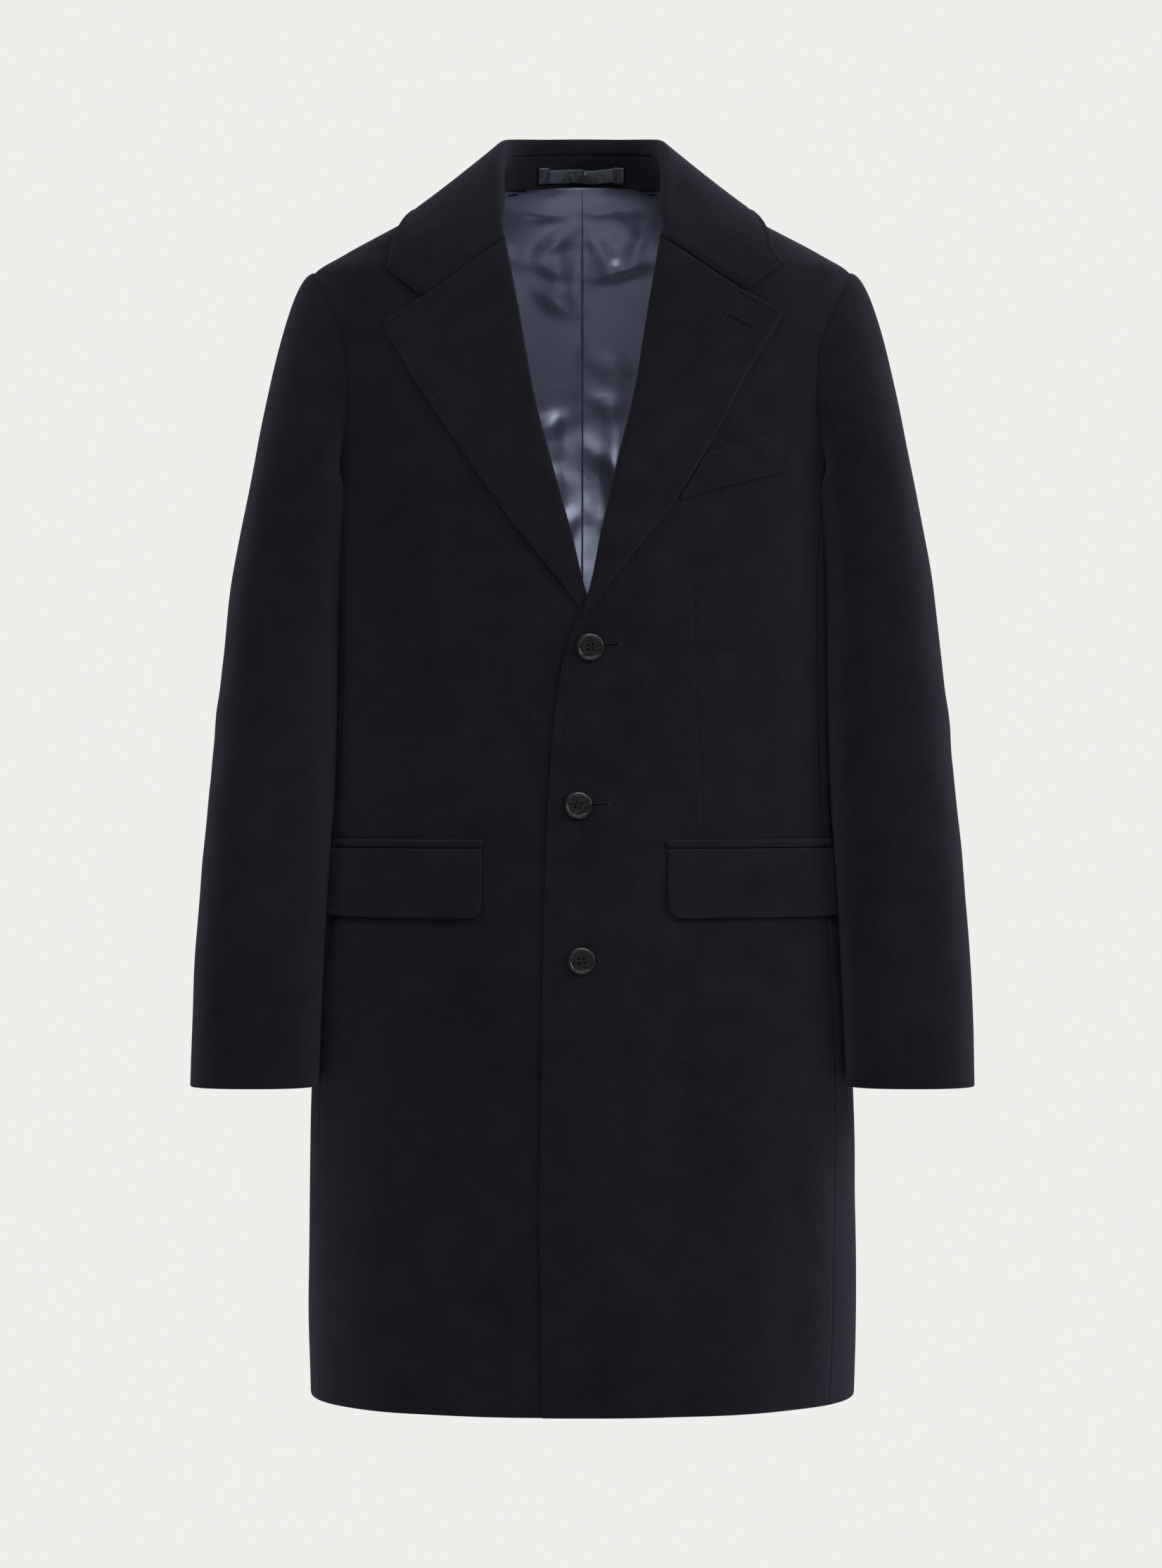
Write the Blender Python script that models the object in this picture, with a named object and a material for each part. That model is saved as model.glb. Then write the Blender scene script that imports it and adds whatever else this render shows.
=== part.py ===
"""Single-breasted wool overcoat, open and empty as a wearer fills it.

Metres, +Z up. The front faces -Y and the wearer's left is +X. The origin is in the middle of the
neck hole, level with the side neck points, where the wearer's shoulders carry the coat.

Every cloth piece is a wall between two faces that follow one surface: trunk() for the body of the
coat, sleeve_point() for the arms, and the trunk's surface lifted for lapels, collar, flaps and welt.
A panel is a loft between unlike sections, so its faces are laid by loops over a grid of points.
"""
from collections import namedtuple
from math import asin, cos, degrees, exp, pi, radians, sin, sqrt

import bmesh
import bpy
from mathutils import Vector

# ---------------------------------------------------------------- cloth and seams
WOOL = 0.0020            # one layer of coating with its canvas
DOUBLE_WOOL = 0.0036     # two layers: lapels, collar, flaps
SATIN = 0.0010           # lining and ribbon
HALF_SEAM = 0.00018      # each piece stops this far from its seam line
REST_GAP = 0.0005        # between a piece and what it lies on
LINING_GAP = 0.0012      # the lining hangs loose inside the wool

HEM_Z = -0.978
BREAK_Z = -0.339         # where the lapels start to roll
SHOULDER_Z = -0.074      # top of the armhole
NAPE_Z = 0.010
NECK_HALF = 0.083        # side neck point, from the middle
WRAP = 0.0030            # how far the upper front stands over the lower one
RING_POWER = 2.3         # 2 is an ellipse, more is squarer

# Trunk sections: half width, and depth from y = 0 to the middle of the front and of the back.
BodyRing = namedtuple("BodyRing", "z half_width front back")
BODY_RINGS = [
    BodyRing(-0.980, 0.2195, 0.1650, 0.156),
    BodyRing(-0.900, 0.2210, 0.1620, 0.151),
    BodyRing(-0.800, 0.2205, 0.1590, 0.145),
    BodyRing(-0.730, 0.2190, 0.1570, 0.140),
    BodyRing(-0.670, 0.2162, 0.1540, 0.137),
    BodyRing(-0.590, 0.2085, 0.1490, 0.133),
    BodyRing(-0.530, 0.2020, 0.1440, 0.128),
    BodyRing(-0.470, 0.1970, 0.1400, 0.122),
    BodyRing(-0.410, 0.1940, 0.1380, 0.119),
    BodyRing(-0.330, 0.1930, 0.1390, 0.124),
    BodyRing(-0.250, 0.1990, 0.1340, 0.132),
    BodyRing(-0.190, 0.2180, 0.1220, 0.132),
    BodyRing(-0.155, 0.2270, 0.1120, 0.128),
    BodyRing(-0.120, 0.2275, 0.1000, 0.121),
    BodyRing(-0.095, 0.2235, 0.0915, 0.115),
    BodyRing(-0.074, 0.2170, 0.0830, 0.109),
    BodyRing(-0.059, 0.1940, 0.0750, 0.105),
    BodyRing(-0.042, 0.1630, 0.0665, 0.100),
    BodyRing(-0.020, 0.1220, 0.0500, 0.092),
    BodyRing(0.000, 0.0845, 0.0330, 0.084),
    BodyRing(0.010, 0.0640, 0.0250, 0.078),
]

# Side seams of the fronts and backs, as angles round the trunk from the middle front.
SideSeam = namedtuple("SideSeam", "hem armhole")
FRONT_SEAM = {"left": SideSeam(61.0, 71.0), "right": SideSeam(71.0, 73.0)}
BACK_SEAM = SideSeam(118.0, 122.0)

# The armhole seen from the side is an egg, narrower at the top.
ARMHOLE_MID_Z, ARMHOLE_HALF_Z = -0.1595, 0.0855
ARMHOLE_HALF_Y, ARMHOLE_EGG = 0.071, 0.18

# Lines on the fronts, as x and z seen from the front, from the top down.
LinePoint = namedtuple("LinePoint", "x z")
NECK_LINE = [LinePoint(0.0830, 0.0000), LinePoint(0.0818, -0.0100), LinePoint(0.0780, -0.0240),
             LinePoint(0.0715, -0.0390), LinePoint(0.0645, -0.0535)]
ROLL_LINE = {
    "left": [LinePoint(0.0645, -0.0535), LinePoint(0.0539, -0.1163), LinePoint(0.0435, -0.1792),
             LinePoint(0.0311, -0.2300), LinePoint(0.0184, -0.2854), LinePoint(0.0047, -0.3388)],
    "right": [LinePoint(0.0640, -0.0550), LinePoint(0.0519, -0.1195), LinePoint(0.0413, -0.1792),
              LinePoint(0.0267, -0.2356), LinePoint(0.0113, -0.2909), LinePoint(-0.0030, -0.3388)],
}
# Below the break: the upper front's edge on the right of the middle, the lower front's under it.
FRONT_EDGE = {
    "left": [LinePoint(0.0047, -0.3388), LinePoint(-0.0085, -0.3679), LinePoint(-0.0168, -0.3981),
             LinePoint(-0.0222, -0.4393), LinePoint(-0.0266, -0.5036), LinePoint(-0.0295, -0.5835),
             LinePoint(-0.0314, -0.7036), LinePoint(-0.0330, -0.8241), LinePoint(-0.0310, -0.9820)],
    "right": [LinePoint(-0.0030, -0.3388), LinePoint(-0.0140, -0.3640), LinePoint(-0.0230, -0.3950),
              LinePoint(-0.0290, -0.4393), LinePoint(-0.0330, -0.5036), LinePoint(-0.0340, -0.7036),
              LinePoint(-0.0340, -0.9820)],
}
# Lapels: the outer edge from the tip down, and where the collar is sewn on from the roll out.
LAPEL_EDGE = {
    "left": [LinePoint(0.1605, -0.1111), LinePoint(0.1285, -0.1640), LinePoint(0.1010, -0.2165),
             LinePoint(0.0735, -0.2620), LinePoint(0.0400, -0.3050), LinePoint(0.0110, -0.3430),
             LinePoint(0.0002, -0.3580)],
    "right": [LinePoint(0.1593, -0.1190), LinePoint(0.1325, -0.1665), LinePoint(0.0930, -0.2260),
              LinePoint(0.0620, -0.2715), LinePoint(0.0310, -0.3110), LinePoint(0.0062, -0.3450)],
}
NOTCH = {"left": LinePoint(0.1295, -0.0950), "right": LinePoint(0.1275, -0.0995)}
COLLAR_TIP = {"left": LinePoint(0.1584, -0.0704), "right": LinePoint(0.1540, -0.0765)}
NOTCH_SHARE = 0.72       # how far along the lapel's top edge the notch lies

# Collar stations from the middle of the back to the gorge: the fold, and the outer edge by its
# angle round the trunk and its height.
CollarStation = namedtuple("CollarStation", "fold_x fold_y fold_z edge_angle edge_z neck_x")
COLLAR_STATIONS = [
    CollarStation(0.0000, 0.0660, 0.0440, 180.0, -0.0180, 0.0000),
    CollarStation(0.0280, 0.0635, 0.0440, 151.0, -0.0195, 0.0340),
    CollarStation(0.0500, 0.0510, 0.0435, 124.0, -0.0230, 0.0585),
    CollarStation(0.0630, 0.0300, 0.0400, 101.0, -0.0255, 0.0755),
    CollarStation(0.0680, 0.0040, 0.0280, 81.0, -0.0295, 0.0829),
    CollarStation(0.0692, -0.0190, 0.0120, 66.0, -0.0385, 0.0820),
    CollarStation(0.0690, -0.0385, -0.0065, 57.5, -0.0490, 0.0780),
    CollarStation(0.0680, -0.0590, -0.0285, 50.8, -0.0600, 0.0720),
]

# Pockets on the fronts.
JET_TOP_Z, FLAP_TOP_Z, FLAP_BOTTOM_Z = -0.5298, -0.5362, -0.5910
FLAP_INNER_X = {"left": 0.0665, "right": 0.0785}
FLAP_OUTER_X, FLAP_CORNER = 0.2000, 0.010
POCKET_GAP = 0.0008      # flap and jet over the chest, across its curve
WELT_TOP = [LinePoint(0.1579, -0.2076), LinePoint(0.1086, -0.2224), LinePoint(0.0800, -0.2330)]
WELT_BOTTOM = [LinePoint(0.1568, -0.2393), LinePoint(0.0763, -0.2633)]

# Buttons: places of their middles, and sizes.
FRONT_BUTTONS = [LinePoint(0.0061, -0.3789), LinePoint(-0.0031, -0.5030), LinePoint(-0.0007, -0.6239)]
FRONT_BUTTON_RADIUS, FRONT_BUTTON_THICK = 0.0110, 0.0034
SLEEVE_BUTTON_RADIUS, SLEEVE_BUTTON_THICK = 0.0074, 0.0024
SLEEVE_BUTTON_LOW_Z, SLEEVE_BUTTON_STEP, SLEEVE_BUTTON_TILT = -0.6870, 0.0125, 15.0

# Sleeve sections below the armpit: outer and inner reach in x, middle and half depth in y.
SleeveRing = namedtuple("SleeveRing", "z outer inner mid_y half_y")
SLEEVE_RINGS = [
    SleeveRing(-0.2500, 0.2662, 0.1885, -0.012, 0.0800),
    SleeveRing(-0.3300, 0.2803, 0.1915, -0.024, 0.0735),
    SleeveRing(-0.4150, 0.2888, 0.1960, -0.036, 0.0675),
    SleeveRing(-0.5000, 0.2970, 0.2005, -0.048, 0.0610),
    SleeveRing(-0.5750, 0.3035, 0.2060, -0.058, 0.0555),
    SleeveRing(-0.6500, 0.3082, 0.2090, -0.067, 0.0510),
    SleeveRing(-0.7255, 0.3092, 0.2115, -0.076, 0.0475),
]
SLEEVE_POWER = 2.4
ARMPIT_Z, CUFF_Z = SLEEVE_RINGS[0].z, SLEEVE_RINGS[-1].z
SLEEVE_CLEAR = 0.0031    # between the sleeve and the side of the coat
FLAP_CLEAR = 0.0038      # more of it where the pocket flap lies between them
FOREARM_SEAM = SideSeam(-48.0, -38.0)     # at the cuff and at the armhole
HINDARM_SEAM = SideSeam(122.0, 158.0)

SIDES = {"left": 1.0, "right": -1.0}      # the wearer's, as the sign of x


def spline(knots, values, at):
    """Smooth curve through the values; slopes are limited so that it never overshoots."""
    rising = knots[-1] > knots[0]
    if not rising:
        knots, values = knots[::-1], values[::-1]
    at = min(max(at, knots[0]), knots[-1])
    k = 0
    while k < len(knots) - 2 and at > knots[k + 1]:
        k += 1
    rates = [(values[i + 1] - values[i]) / (knots[i + 1] - knots[i]) for i in range(len(knots) - 1)]

    def slope(i):
        if i in (0, len(knots) - 1):
            return rates[min(i, len(rates) - 1)]
        before, after = rates[i - 1], rates[i]
        if before * after <= 0:
            return 0.0
        return 2 * before * after / (before + after)

    width = knots[k + 1] - knots[k]
    t = (at - knots[k]) / width
    return ((2 * t**3 - 3 * t**2 + 1) * values[k] + (t**3 - 2 * t**2 + t) * width * slope(k)
            + (3 * t**2 - 2 * t**3) * values[k + 1] + (t**3 - t**2) * width * slope(k + 1))


def column(table, key, name, at):
    """Value of one named column of a table, at a place in its key column."""
    return spline([getattr(row, key) for row in table], [getattr(row, name) for row in table], at)


def along(line, share):
    """Point of a line of LinePoints at a share of its length."""
    steps = [sqrt((b.x - a.x)**2 + (b.z - a.z)**2) for a, b in zip(line, line[1:])]
    reach = [sum(steps[:i]) / sum(steps) for i in range(len(line))]
    return LinePoint(spline(reach, [p.x for p in line], share), spline(reach, [p.z for p in line], share))


def mix(a, b, t):
    return a + (b - a) * t


def smooth_step(t):
    t = min(max(t, 0.0), 1.0)
    return t * t * (3 - 2 * t)


# ---------------------------------------------------------------- trunk surface
def ring_at(z):
    return BodyRing(z, *(column(BODY_RINGS, "z", name, z) for name in ("half_width", "front", "back")))


def trunk(angle, z):
    """Point of the trunk: angle 0 is the middle front, 90 the side, 180 the middle back."""
    ring = ring_at(z)
    s, c = sin(radians(angle)), cos(radians(angle))
    x = ring.half_width * abs(s)**(2 / RING_POWER) * (1 if s >= 0 else -1)
    depth = ring.front if c >= 0 else ring.back
    y = -depth * abs(c)**(2 / RING_POWER) * (1 if c >= 0 else -1)
    return Vector((x, y, z))


def trunk_normal(point):
    """Outward normal of the trunk, from the slope of its own equation."""
    x, y, z = point
    step = 0.0008
    low, ring, high = ring_at(z - step), ring_at(z), ring_at(z + step)
    depth, low_depth, high_depth = ((r.front if y <= 0 else r.back) for r in (ring, low, high))
    across, through = abs(x) / ring.half_width, abs(y) / depth
    along_x = across**(RING_POWER - 1) / ring.half_width * (1 if x >= 0 else -1)
    along_y = through**(RING_POWER - 1) / depth * (1 if y >= 0 else -1)
    width_rate = (high.half_width - low.half_width) / (2 * step)
    depth_rate = (high_depth - low_depth) / (2 * step)
    along_z = -(across**RING_POWER * width_rate / ring.half_width
                + through**RING_POWER * depth_rate / depth)
    return Vector((along_x, along_y, along_z)).normalized()


def angle_of(x, z):
    """Angle of a front point from how far it stands from the middle."""
    share = min(abs(x) / ring_at(z).half_width, 1.0)
    return degrees(asin(share**(RING_POWER / 2))) * (1 if x >= 0 else -1)


def trunk_width_at(y, z):
    """How far the trunk reaches in x at a depth y."""
    ring = ring_at(z)
    share = abs(y) / (ring.front if y <= 0 else ring.back)
    return ring.half_width * max(1 - share**RING_POWER, 0.0)**(1 / RING_POWER)


def wrap_lift(x, z):
    """The upper front stands over the lower one near the middle, below the break."""
    across = smooth_step((0.085 - x) / 0.045)
    return WRAP * across * smooth_step((-0.250 - z) / 0.070)


def lifted(point, lift):
    return point + trunk_normal(point) * lift


def on_front(side, x, z, lift):
    """Point over a front, lifted off its outer face; x is counted from the middle to that side."""
    point = trunk(angle_of(x, z), z)
    if side == "left":
        lift += wrap_lift(x, z)
    point = lifted(point, lift)
    return Vector((point.x * SIDES[side], point.y, point.z))


# ---------------------------------------------------------------- solids
def material(name, colour, roughness, sheen=0.0):
    made = bpy.data.materials.new(name)
    made.use_nodes = True
    shader = made.node_tree.nodes["Principled BSDF"]
    shader.inputs["Base Color"].default_value = (*colour, 1.0)
    shader.inputs["Roughness"].default_value = roughness
    shader.inputs["Sheen Weight"].default_value = sheen
    made.diffuse_color = (*colour, 1.0)
    return made


def add_object(name, mesh, paint, collection):
    mesh.materials.clear()
    mesh.materials.append(paint)
    mesh.shade_smooth()
    mesh.set_sharp_from_angle(angle=radians(50))
    made = bpy.data.objects.new(name, mesh)
    collection.objects.link(made)
    return made


def wall(name, outer, inner, paint, collection):
    """Closed wall between an outer and an inner grid of points, with a rim on all four sides."""
    rows, columns = len(outer), len(outer[0])
    shape = bmesh.new()
    faces = [[[shape.verts.new(p) for p in row] for row in grid] for grid in (outer, inner)]
    for row in range(rows - 1):
        for place in range(columns - 1):
            for grid in faces:
                shape.faces.new((grid[row][place], grid[row][place + 1],
                                 grid[row + 1][place + 1], grid[row + 1][place]))
    rim = [(0, place) for place in range(columns)] + [(row, columns - 1) for row in range(1, rows)]
    rim += [(rows - 1, place) for place in range(columns - 2, -1, -1)]
    rim += [(row, 0) for row in range(rows - 2, 0, -1)]
    for (row, place), (next_row, next_place) in zip(rim, rim[1:] + rim[:1]):
        shape.faces.new((faces[0][row][place], faces[0][next_row][next_place],
                         faces[1][next_row][next_place], faces[1][row][place]))
    bmesh.ops.recalc_face_normals(shape, faces=shape.faces[:])
    if shape.calc_volume(signed=True) < 0:
        bmesh.ops.reverse_faces(shape, faces=shape.faces[:])
    bmesh.ops.triangulate(shape, faces=shape.faces[:])
    mesh = bpy.data.meshes.new(name)
    shape.to_mesh(mesh)
    shape.free()
    return add_object(name, mesh, paint, collection)


def mirror_side(points, side):
    return [[Vector((p.x * SIDES[side], p.y, p.z)) for p in row] for row in points]


def step_angle(angle, z, distance):
    """The same place on the trunk moved round by a distance."""
    near, far = trunk(angle - 0.5, z), trunk(angle + 0.5, z)
    return angle + distance / max((far - near).length, 1e-5)


# ---------------------------------------------------------------- armhole
def armhole_depth(z):
    """Half depth in y of the armhole at a height, 0 above and below it."""
    rise = (z - ARMHOLE_MID_Z) / ARMHOLE_HALF_Z
    if abs(rise) >= 1:
        return 0.0
    return ARMHOLE_HALF_Y * sqrt(1 - rise * rise) * (1 - ARMHOLE_EGG * rise)


def armhole_point(turn):
    """Point of the armhole: turn 0 is its front, 90 its top, -90 the armpit."""
    s, c = sin(radians(turn)), cos(radians(turn))
    y = -ARMHOLE_HALF_Y * c * (1 - ARMHOLE_EGG * s)
    z = ARMHOLE_MID_Z + ARMHOLE_HALF_Z * s
    return Vector((trunk_width_at(y, z), y, z))


def armhole_angle(z, front):
    """Angle round the trunk where the armhole is at a height, on its front or back side."""
    ring = ring_at(z)
    depth = ring.front if front else ring.back
    turn = degrees(asin(sqrt(max(1 - (armhole_depth(z) / depth)**RING_POWER, 0.0))))
    return turn if front else 180 - turn


def side_seam_angle(seam, z):
    return mix(seam.hem, seam.armhole, (z - HEM_Z) / (-0.22 - HEM_Z))


def armhole_meets(seam, front):
    """Height at which a side seam runs into the lower part of the armhole."""
    low, high = ARMHOLE_MID_Z - ARMHOLE_HALF_Z, ARMHOLE_MID_Z
    for _ in range(40):
        z = (low + high) / 2
        inside = armhole_angle(z, front) - side_seam_angle(seam, z)
        if (inside > 0) == front:
            low = z
        else:
            high = z
    return (low + high) / 2


# ---------------------------------------------------------------- trunk panels
def panel(name, heights, limits, columns, paint, collection, side, lift=0.0, thick=WOOL, extra=None):
    """Panel between two limits round the trunk, given as angles at each height."""
    outer, inner = [], []
    for z in heights:
        start, end = limits(z)
        start, end = step_angle(start, z, HALF_SEAM), step_angle(end, z, -HALF_SEAM)
        bases = [trunk(mix(start, end, i / columns), z) for i in range(columns + 1)]
        raises = [lift + (extra(p.x, z) if extra else 0.0) for p in bases]
        outer.append([lifted(p, up) for p, up in zip(bases, raises)])
        inner.append([lifted(p, up - thick) for p, up in zip(bases, raises)])
    return wall(name, mirror_side(outer, side), mirror_side(inner, side), paint, collection)


def heights_between(low, high, step):
    count = max(1, round((high - low) / step))
    return [mix(low, high, i / count) for i in range(count + 1)]


def front(side, paint, collection):
    """A front from the hem to the shoulder, inside the roll line and the neck line."""
    seam = FRONT_SEAM[side]
    meet = armhole_meets(seam, True)

    def inner_limit(z):
        if z >= NECK_LINE[-1].z:
            return angle_of(column(NECK_LINE, "z", "x", z), z)
        if z >= BREAK_Z:
            return angle_of(column(ROLL_LINE[side], "z", "x", z) + REST_GAP, z)
        return angle_of(column(FRONT_EDGE[side], "z", "x", z), z)

    def limits(z):
        if z < meet:
            return inner_limit(z), side_seam_angle(seam, z)
        if z < SHOULDER_Z:
            return inner_limit(z), armhole_angle(z, True)
        return inner_limit(z), 90.0

    heights = heights_between(HEM_Z, -0.43, 0.068)[:-1] + heights_between(-0.43, BREAK_Z, 0.023)[:-1]
    heights += heights_between(BREAK_Z, meet, 0.026)[:-1] + heights_between(meet, -0.100, 0.024)
    heights += [-0.088, -0.080, -0.0755, SHOULDER_Z, -0.066, -0.056, -0.044, -0.031, -0.019, -0.008]
    heights += [-0.0008]
    extra = wrap_lift if side == "left" else None
    return panel("front_" + side, heights, limits, 9, paint, collection, side, extra=extra)


def back_heights(low):
    """Heights of the rows of a back half and of its lining, from its hem up."""
    meet = armhole_meets(BACK_SEAM, False)
    heights = heights_between(low, -0.400, 0.063)[:-1] + heights_between(-0.400, meet, 0.027)[:-1]
    heights += heights_between(meet, -0.100, 0.024)
    heights += [-0.088, -0.080, -0.0755, SHOULDER_Z, -0.064, -0.050, -0.035, -0.020, -0.009, -0.0008]
    return heights + [0.003, 0.006, 0.0085]


def back(side, paint, collection):
    """A back half from the hem to the shoulder and the neck."""
    meet = armhole_meets(BACK_SEAM, False)

    def neck_angle(z):
        share = max(1 - z / NAPE_Z, 0.0)
        return 180 - angle_of(NECK_HALF * sqrt(share), z)

    def limits(z):
        if z < meet:
            return side_seam_angle(BACK_SEAM, z), 180.0
        if z < SHOULDER_Z:
            return armhole_angle(z, False), 180.0
        if z < 0:
            return 90.0, 180.0
        return neck_angle(z), 180.0

    return panel("back_" + side, back_heights(HEM_Z), limits, 7, paint, collection, side)


def side_panel(side, paint, collection):
    """The panel under the arm, between the front and the back, up to the bottom of the armhole."""
    columns = 7
    shares = heights_between(0.0, 0.74, 0.075)[:-1] + heights_between(0.74, 1.0, 0.034)
    outer, inner = [], []
    for row_share in shares:
        outer_row, inner_row = [], []
        for place in range(columns + 1):
            share = place / columns
            start, end = side_seam_angle(FRONT_SEAM[side], HEM_Z), side_seam_angle(BACK_SEAM, HEM_Z)
            top_start = side_seam_angle(FRONT_SEAM[side], armhole_meets(FRONT_SEAM[side], True))
            top_end = side_seam_angle(BACK_SEAM, armhole_meets(BACK_SEAM, False))
            top = armhole_low_z(mix(top_start, top_end, share)) - HALF_SEAM
            z = mix(HEM_Z, top, row_share)
            start = step_angle(side_seam_angle(FRONT_SEAM[side], z), z, 2 * HALF_SEAM)
            end = step_angle(side_seam_angle(BACK_SEAM, z), z, -2 * HALF_SEAM)
            base = trunk(mix(start, end, share), z)
            outer_row.append(lifted(base, 0.0))
            inner_row.append(lifted(base, -WOOL))
        outer.append(outer_row)
        inner.append(inner_row)
    return wall("side_" + side, mirror_side(outer, side), mirror_side(inner, side), paint, collection)


def armhole_low_z(angle):
    """Height of the bottom of the armhole at an angle round the trunk."""
    is_front = angle <= 90
    low, high = ARMHOLE_MID_Z - ARMHOLE_HALF_Z, ARMHOLE_MID_Z - 0.3 * ARMHOLE_HALF_Z
    for _ in range(40):
        z = (low + high) / 2
        edge = armhole_angle(z, is_front)
        if abs(edge - 90) < abs(angle - 90):
            low = z
        else:
            high = z
    return (low + high) / 2


def lining_back(side, paint, collection):
    """Half of the back lining, from the neck to just above the hem, inside the wool."""
    meet = armhole_meets(BACK_SEAM, False)

    def limits(z):
        if z < meet:
            return side_seam_angle(BACK_SEAM, z) + 0.8, 180.0
        if z < SHOULDER_Z:
            return armhole_angle(z, False) + 1.6, 180.0
        if z < 0:
            return 91.5 + 3.0 * smooth_step((z - SHOULDER_Z) / 0.03), 180.0
        return 180 - angle_of(NECK_HALF * sqrt(1 - z / NAPE_Z), z) + 2.0, 180.0

    return panel("lining_back_" + side, back_heights(HEM_Z + 0.022), limits, 7, paint, collection, side,
                 lift=-WOOL - LINING_GAP, thick=SATIN)


# ---------------------------------------------------------------- lapels
# The lapel turns over its front at the roll: steps of the turn as distances past the roll line
# towards the opening and heights over the front, for the outer and the inner face.
RollStep = namedtuple("RollStep", "outer_past outer_lift inner_past inner_lift")
ROLL_STEPS = [
    RollStep(0.0004, -0.0023, 0.0000, -0.0019),
    RollStep(0.0024, -0.0012, 0.0000, -0.0010),
    RollStep(0.0034, 0.0012, 0.0000, 0.0000),
    RollStep(0.0028, 0.0038, 0.0000, 0.0006),
    RollStep(0.0008, 0.0055, -0.0010, 0.0012),
]
LAPEL_LIFT, ROLL_HEIGHT, ROLL_REACH = 0.0042, 0.0020, 0.022
LAPEL_END_Z = {"left": -0.3388, "right": -0.3210}


def roll_point(side, share):
    """Point of the roll line from the gorge down to the end of the lapel."""
    z = mix(ROLL_LINE[side][0].z, LAPEL_END_Z[side], share)
    return LinePoint(column(ROLL_LINE[side], "z", "x", z), z)


def lapel_point(side, across, down):
    """Place on the lapel, 0 to 1 from the roll to the edge and from the gorge to the break."""
    top, edge = roll_point(side, down), along(LAPEL_EDGE[side], down)
    notch, corner = NOTCH[side], along(LAPEL_EDGE[side], 0.0)
    start = roll_point(side, 0.0)
    bend = min(across / NOTCH_SHARE, (1 - across) / (1 - NOTCH_SHARE)) * (1 - down)**6
    bend_x = (notch.x - mix(start.x, corner.x, NOTCH_SHARE)) * bend
    bend_z = (notch.z - mix(start.z, corner.z, NOTCH_SHARE)) * bend
    return LinePoint(mix(top.x, edge.x, across) + bend_x, mix(top.z, edge.z, across) + bend_z)


def lapel_lift(distance):
    return LAPEL_LIFT + ROLL_HEIGHT * exp(-(distance / ROLL_REACH)**2)


def lapel(side, paint, collection):
    """The turned-back top of a front: double cloth that rolls over and lies on the chest."""
    shares = [0.05, 0.13, 0.26, 0.41, 0.57, NOTCH_SHARE, 0.86, 1.0]
    rows = 15
    outer, inner = [], []
    for row in range(rows + 1):
        down = mix(0.004, 1.0, row / rows)
        start, edge = lapel_point(side, 0.0, down), lapel_point(side, 1.0, down)
        width = max(edge.x - start.x, 0.004)
        soft = mix(1.0, 0.62, smooth_step((down - 0.75) / 0.25))
        outer_row, inner_row = [], []
        for step in ROLL_STEPS:
            outer_row.append(on_front(side, start.x - step.outer_past * soft, start.z, step.outer_lift * soft))
            inner_row.append(on_front(side, start.x - step.inner_past * soft, start.z, step.inner_lift * soft))
        for share in shares:
            place = lapel_point(side, share, down)
            lift = lapel_lift(share * width) * soft
            thick = min(DOUBLE_WOOL, lift - REST_GAP)
            outer_row.append(on_front(side, place.x, place.z, lift))
            inner_row.append(on_front(side, place.x, place.z, lift - thick))
        outer.append(outer_row)
        inner.append(inner_row)
    return wall("lapel_" + side, outer, inner, paint, collection)


# ---------------------------------------------------------------- collar
FOLD_RADIUS = 0.0055
FOLD_TURNS = [45.0, 75.0, 105.0, 138.0, 170.0]
STAND_SEAM_DROP = 0.0130          # from the top of the fold to the seam of the stand
STAND_CLEAR = 0.0012              # the stand leans away from the fall, so their edges keep this
FOLD_WOOL = 0.0026
FALL_SHARES = [0.0, 1 - NOTCH_SHARE, 0.60, 0.85]
COLLAR_LIFT = 0.0052


def station_at(place):
    """Collar station between two rows of the table."""
    knots = list(range(len(COLLAR_STATIONS)))
    return CollarStation(*(spline(knots, [getattr(s, name) for s in COLLAR_STATIONS], place)
                           for name in CollarStation._fields))


def neck_point(station):
    """Where the collar is sewn to the neck: on the trunk at the station's distance from the middle."""
    x = station.neck_x
    if station.fold_y > 0.0045:
        z = NAPE_Z * (1 - (x / NECK_HALF)**2)
        return trunk(180 - angle_of(x, z), z)
    z = column(NECK_LINE, "x", "z", x)
    return trunk(angle_of(x, z), z)


def collar_frame(station):
    """Fold and neck point, with the directions up out of the cloth and away from the neck there.

    Round the back the collar stands up; towards the gorge it turns over the chest as a lapel does.
    """
    fold = Vector((station.fold_x, station.fold_y, station.fold_z))
    neck = neck_point(station)
    edge = trunk(station.edge_angle, station.edge_z)
    lying = smooth_step(-station.fold_y / 0.065)
    up = Vector((0, 0, 1)).lerp(trunk_normal(neck), lying).normalized()
    away = edge - fold
    out = (away - up * away.dot(up)).normalized()
    return fold, neck, up, out


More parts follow.
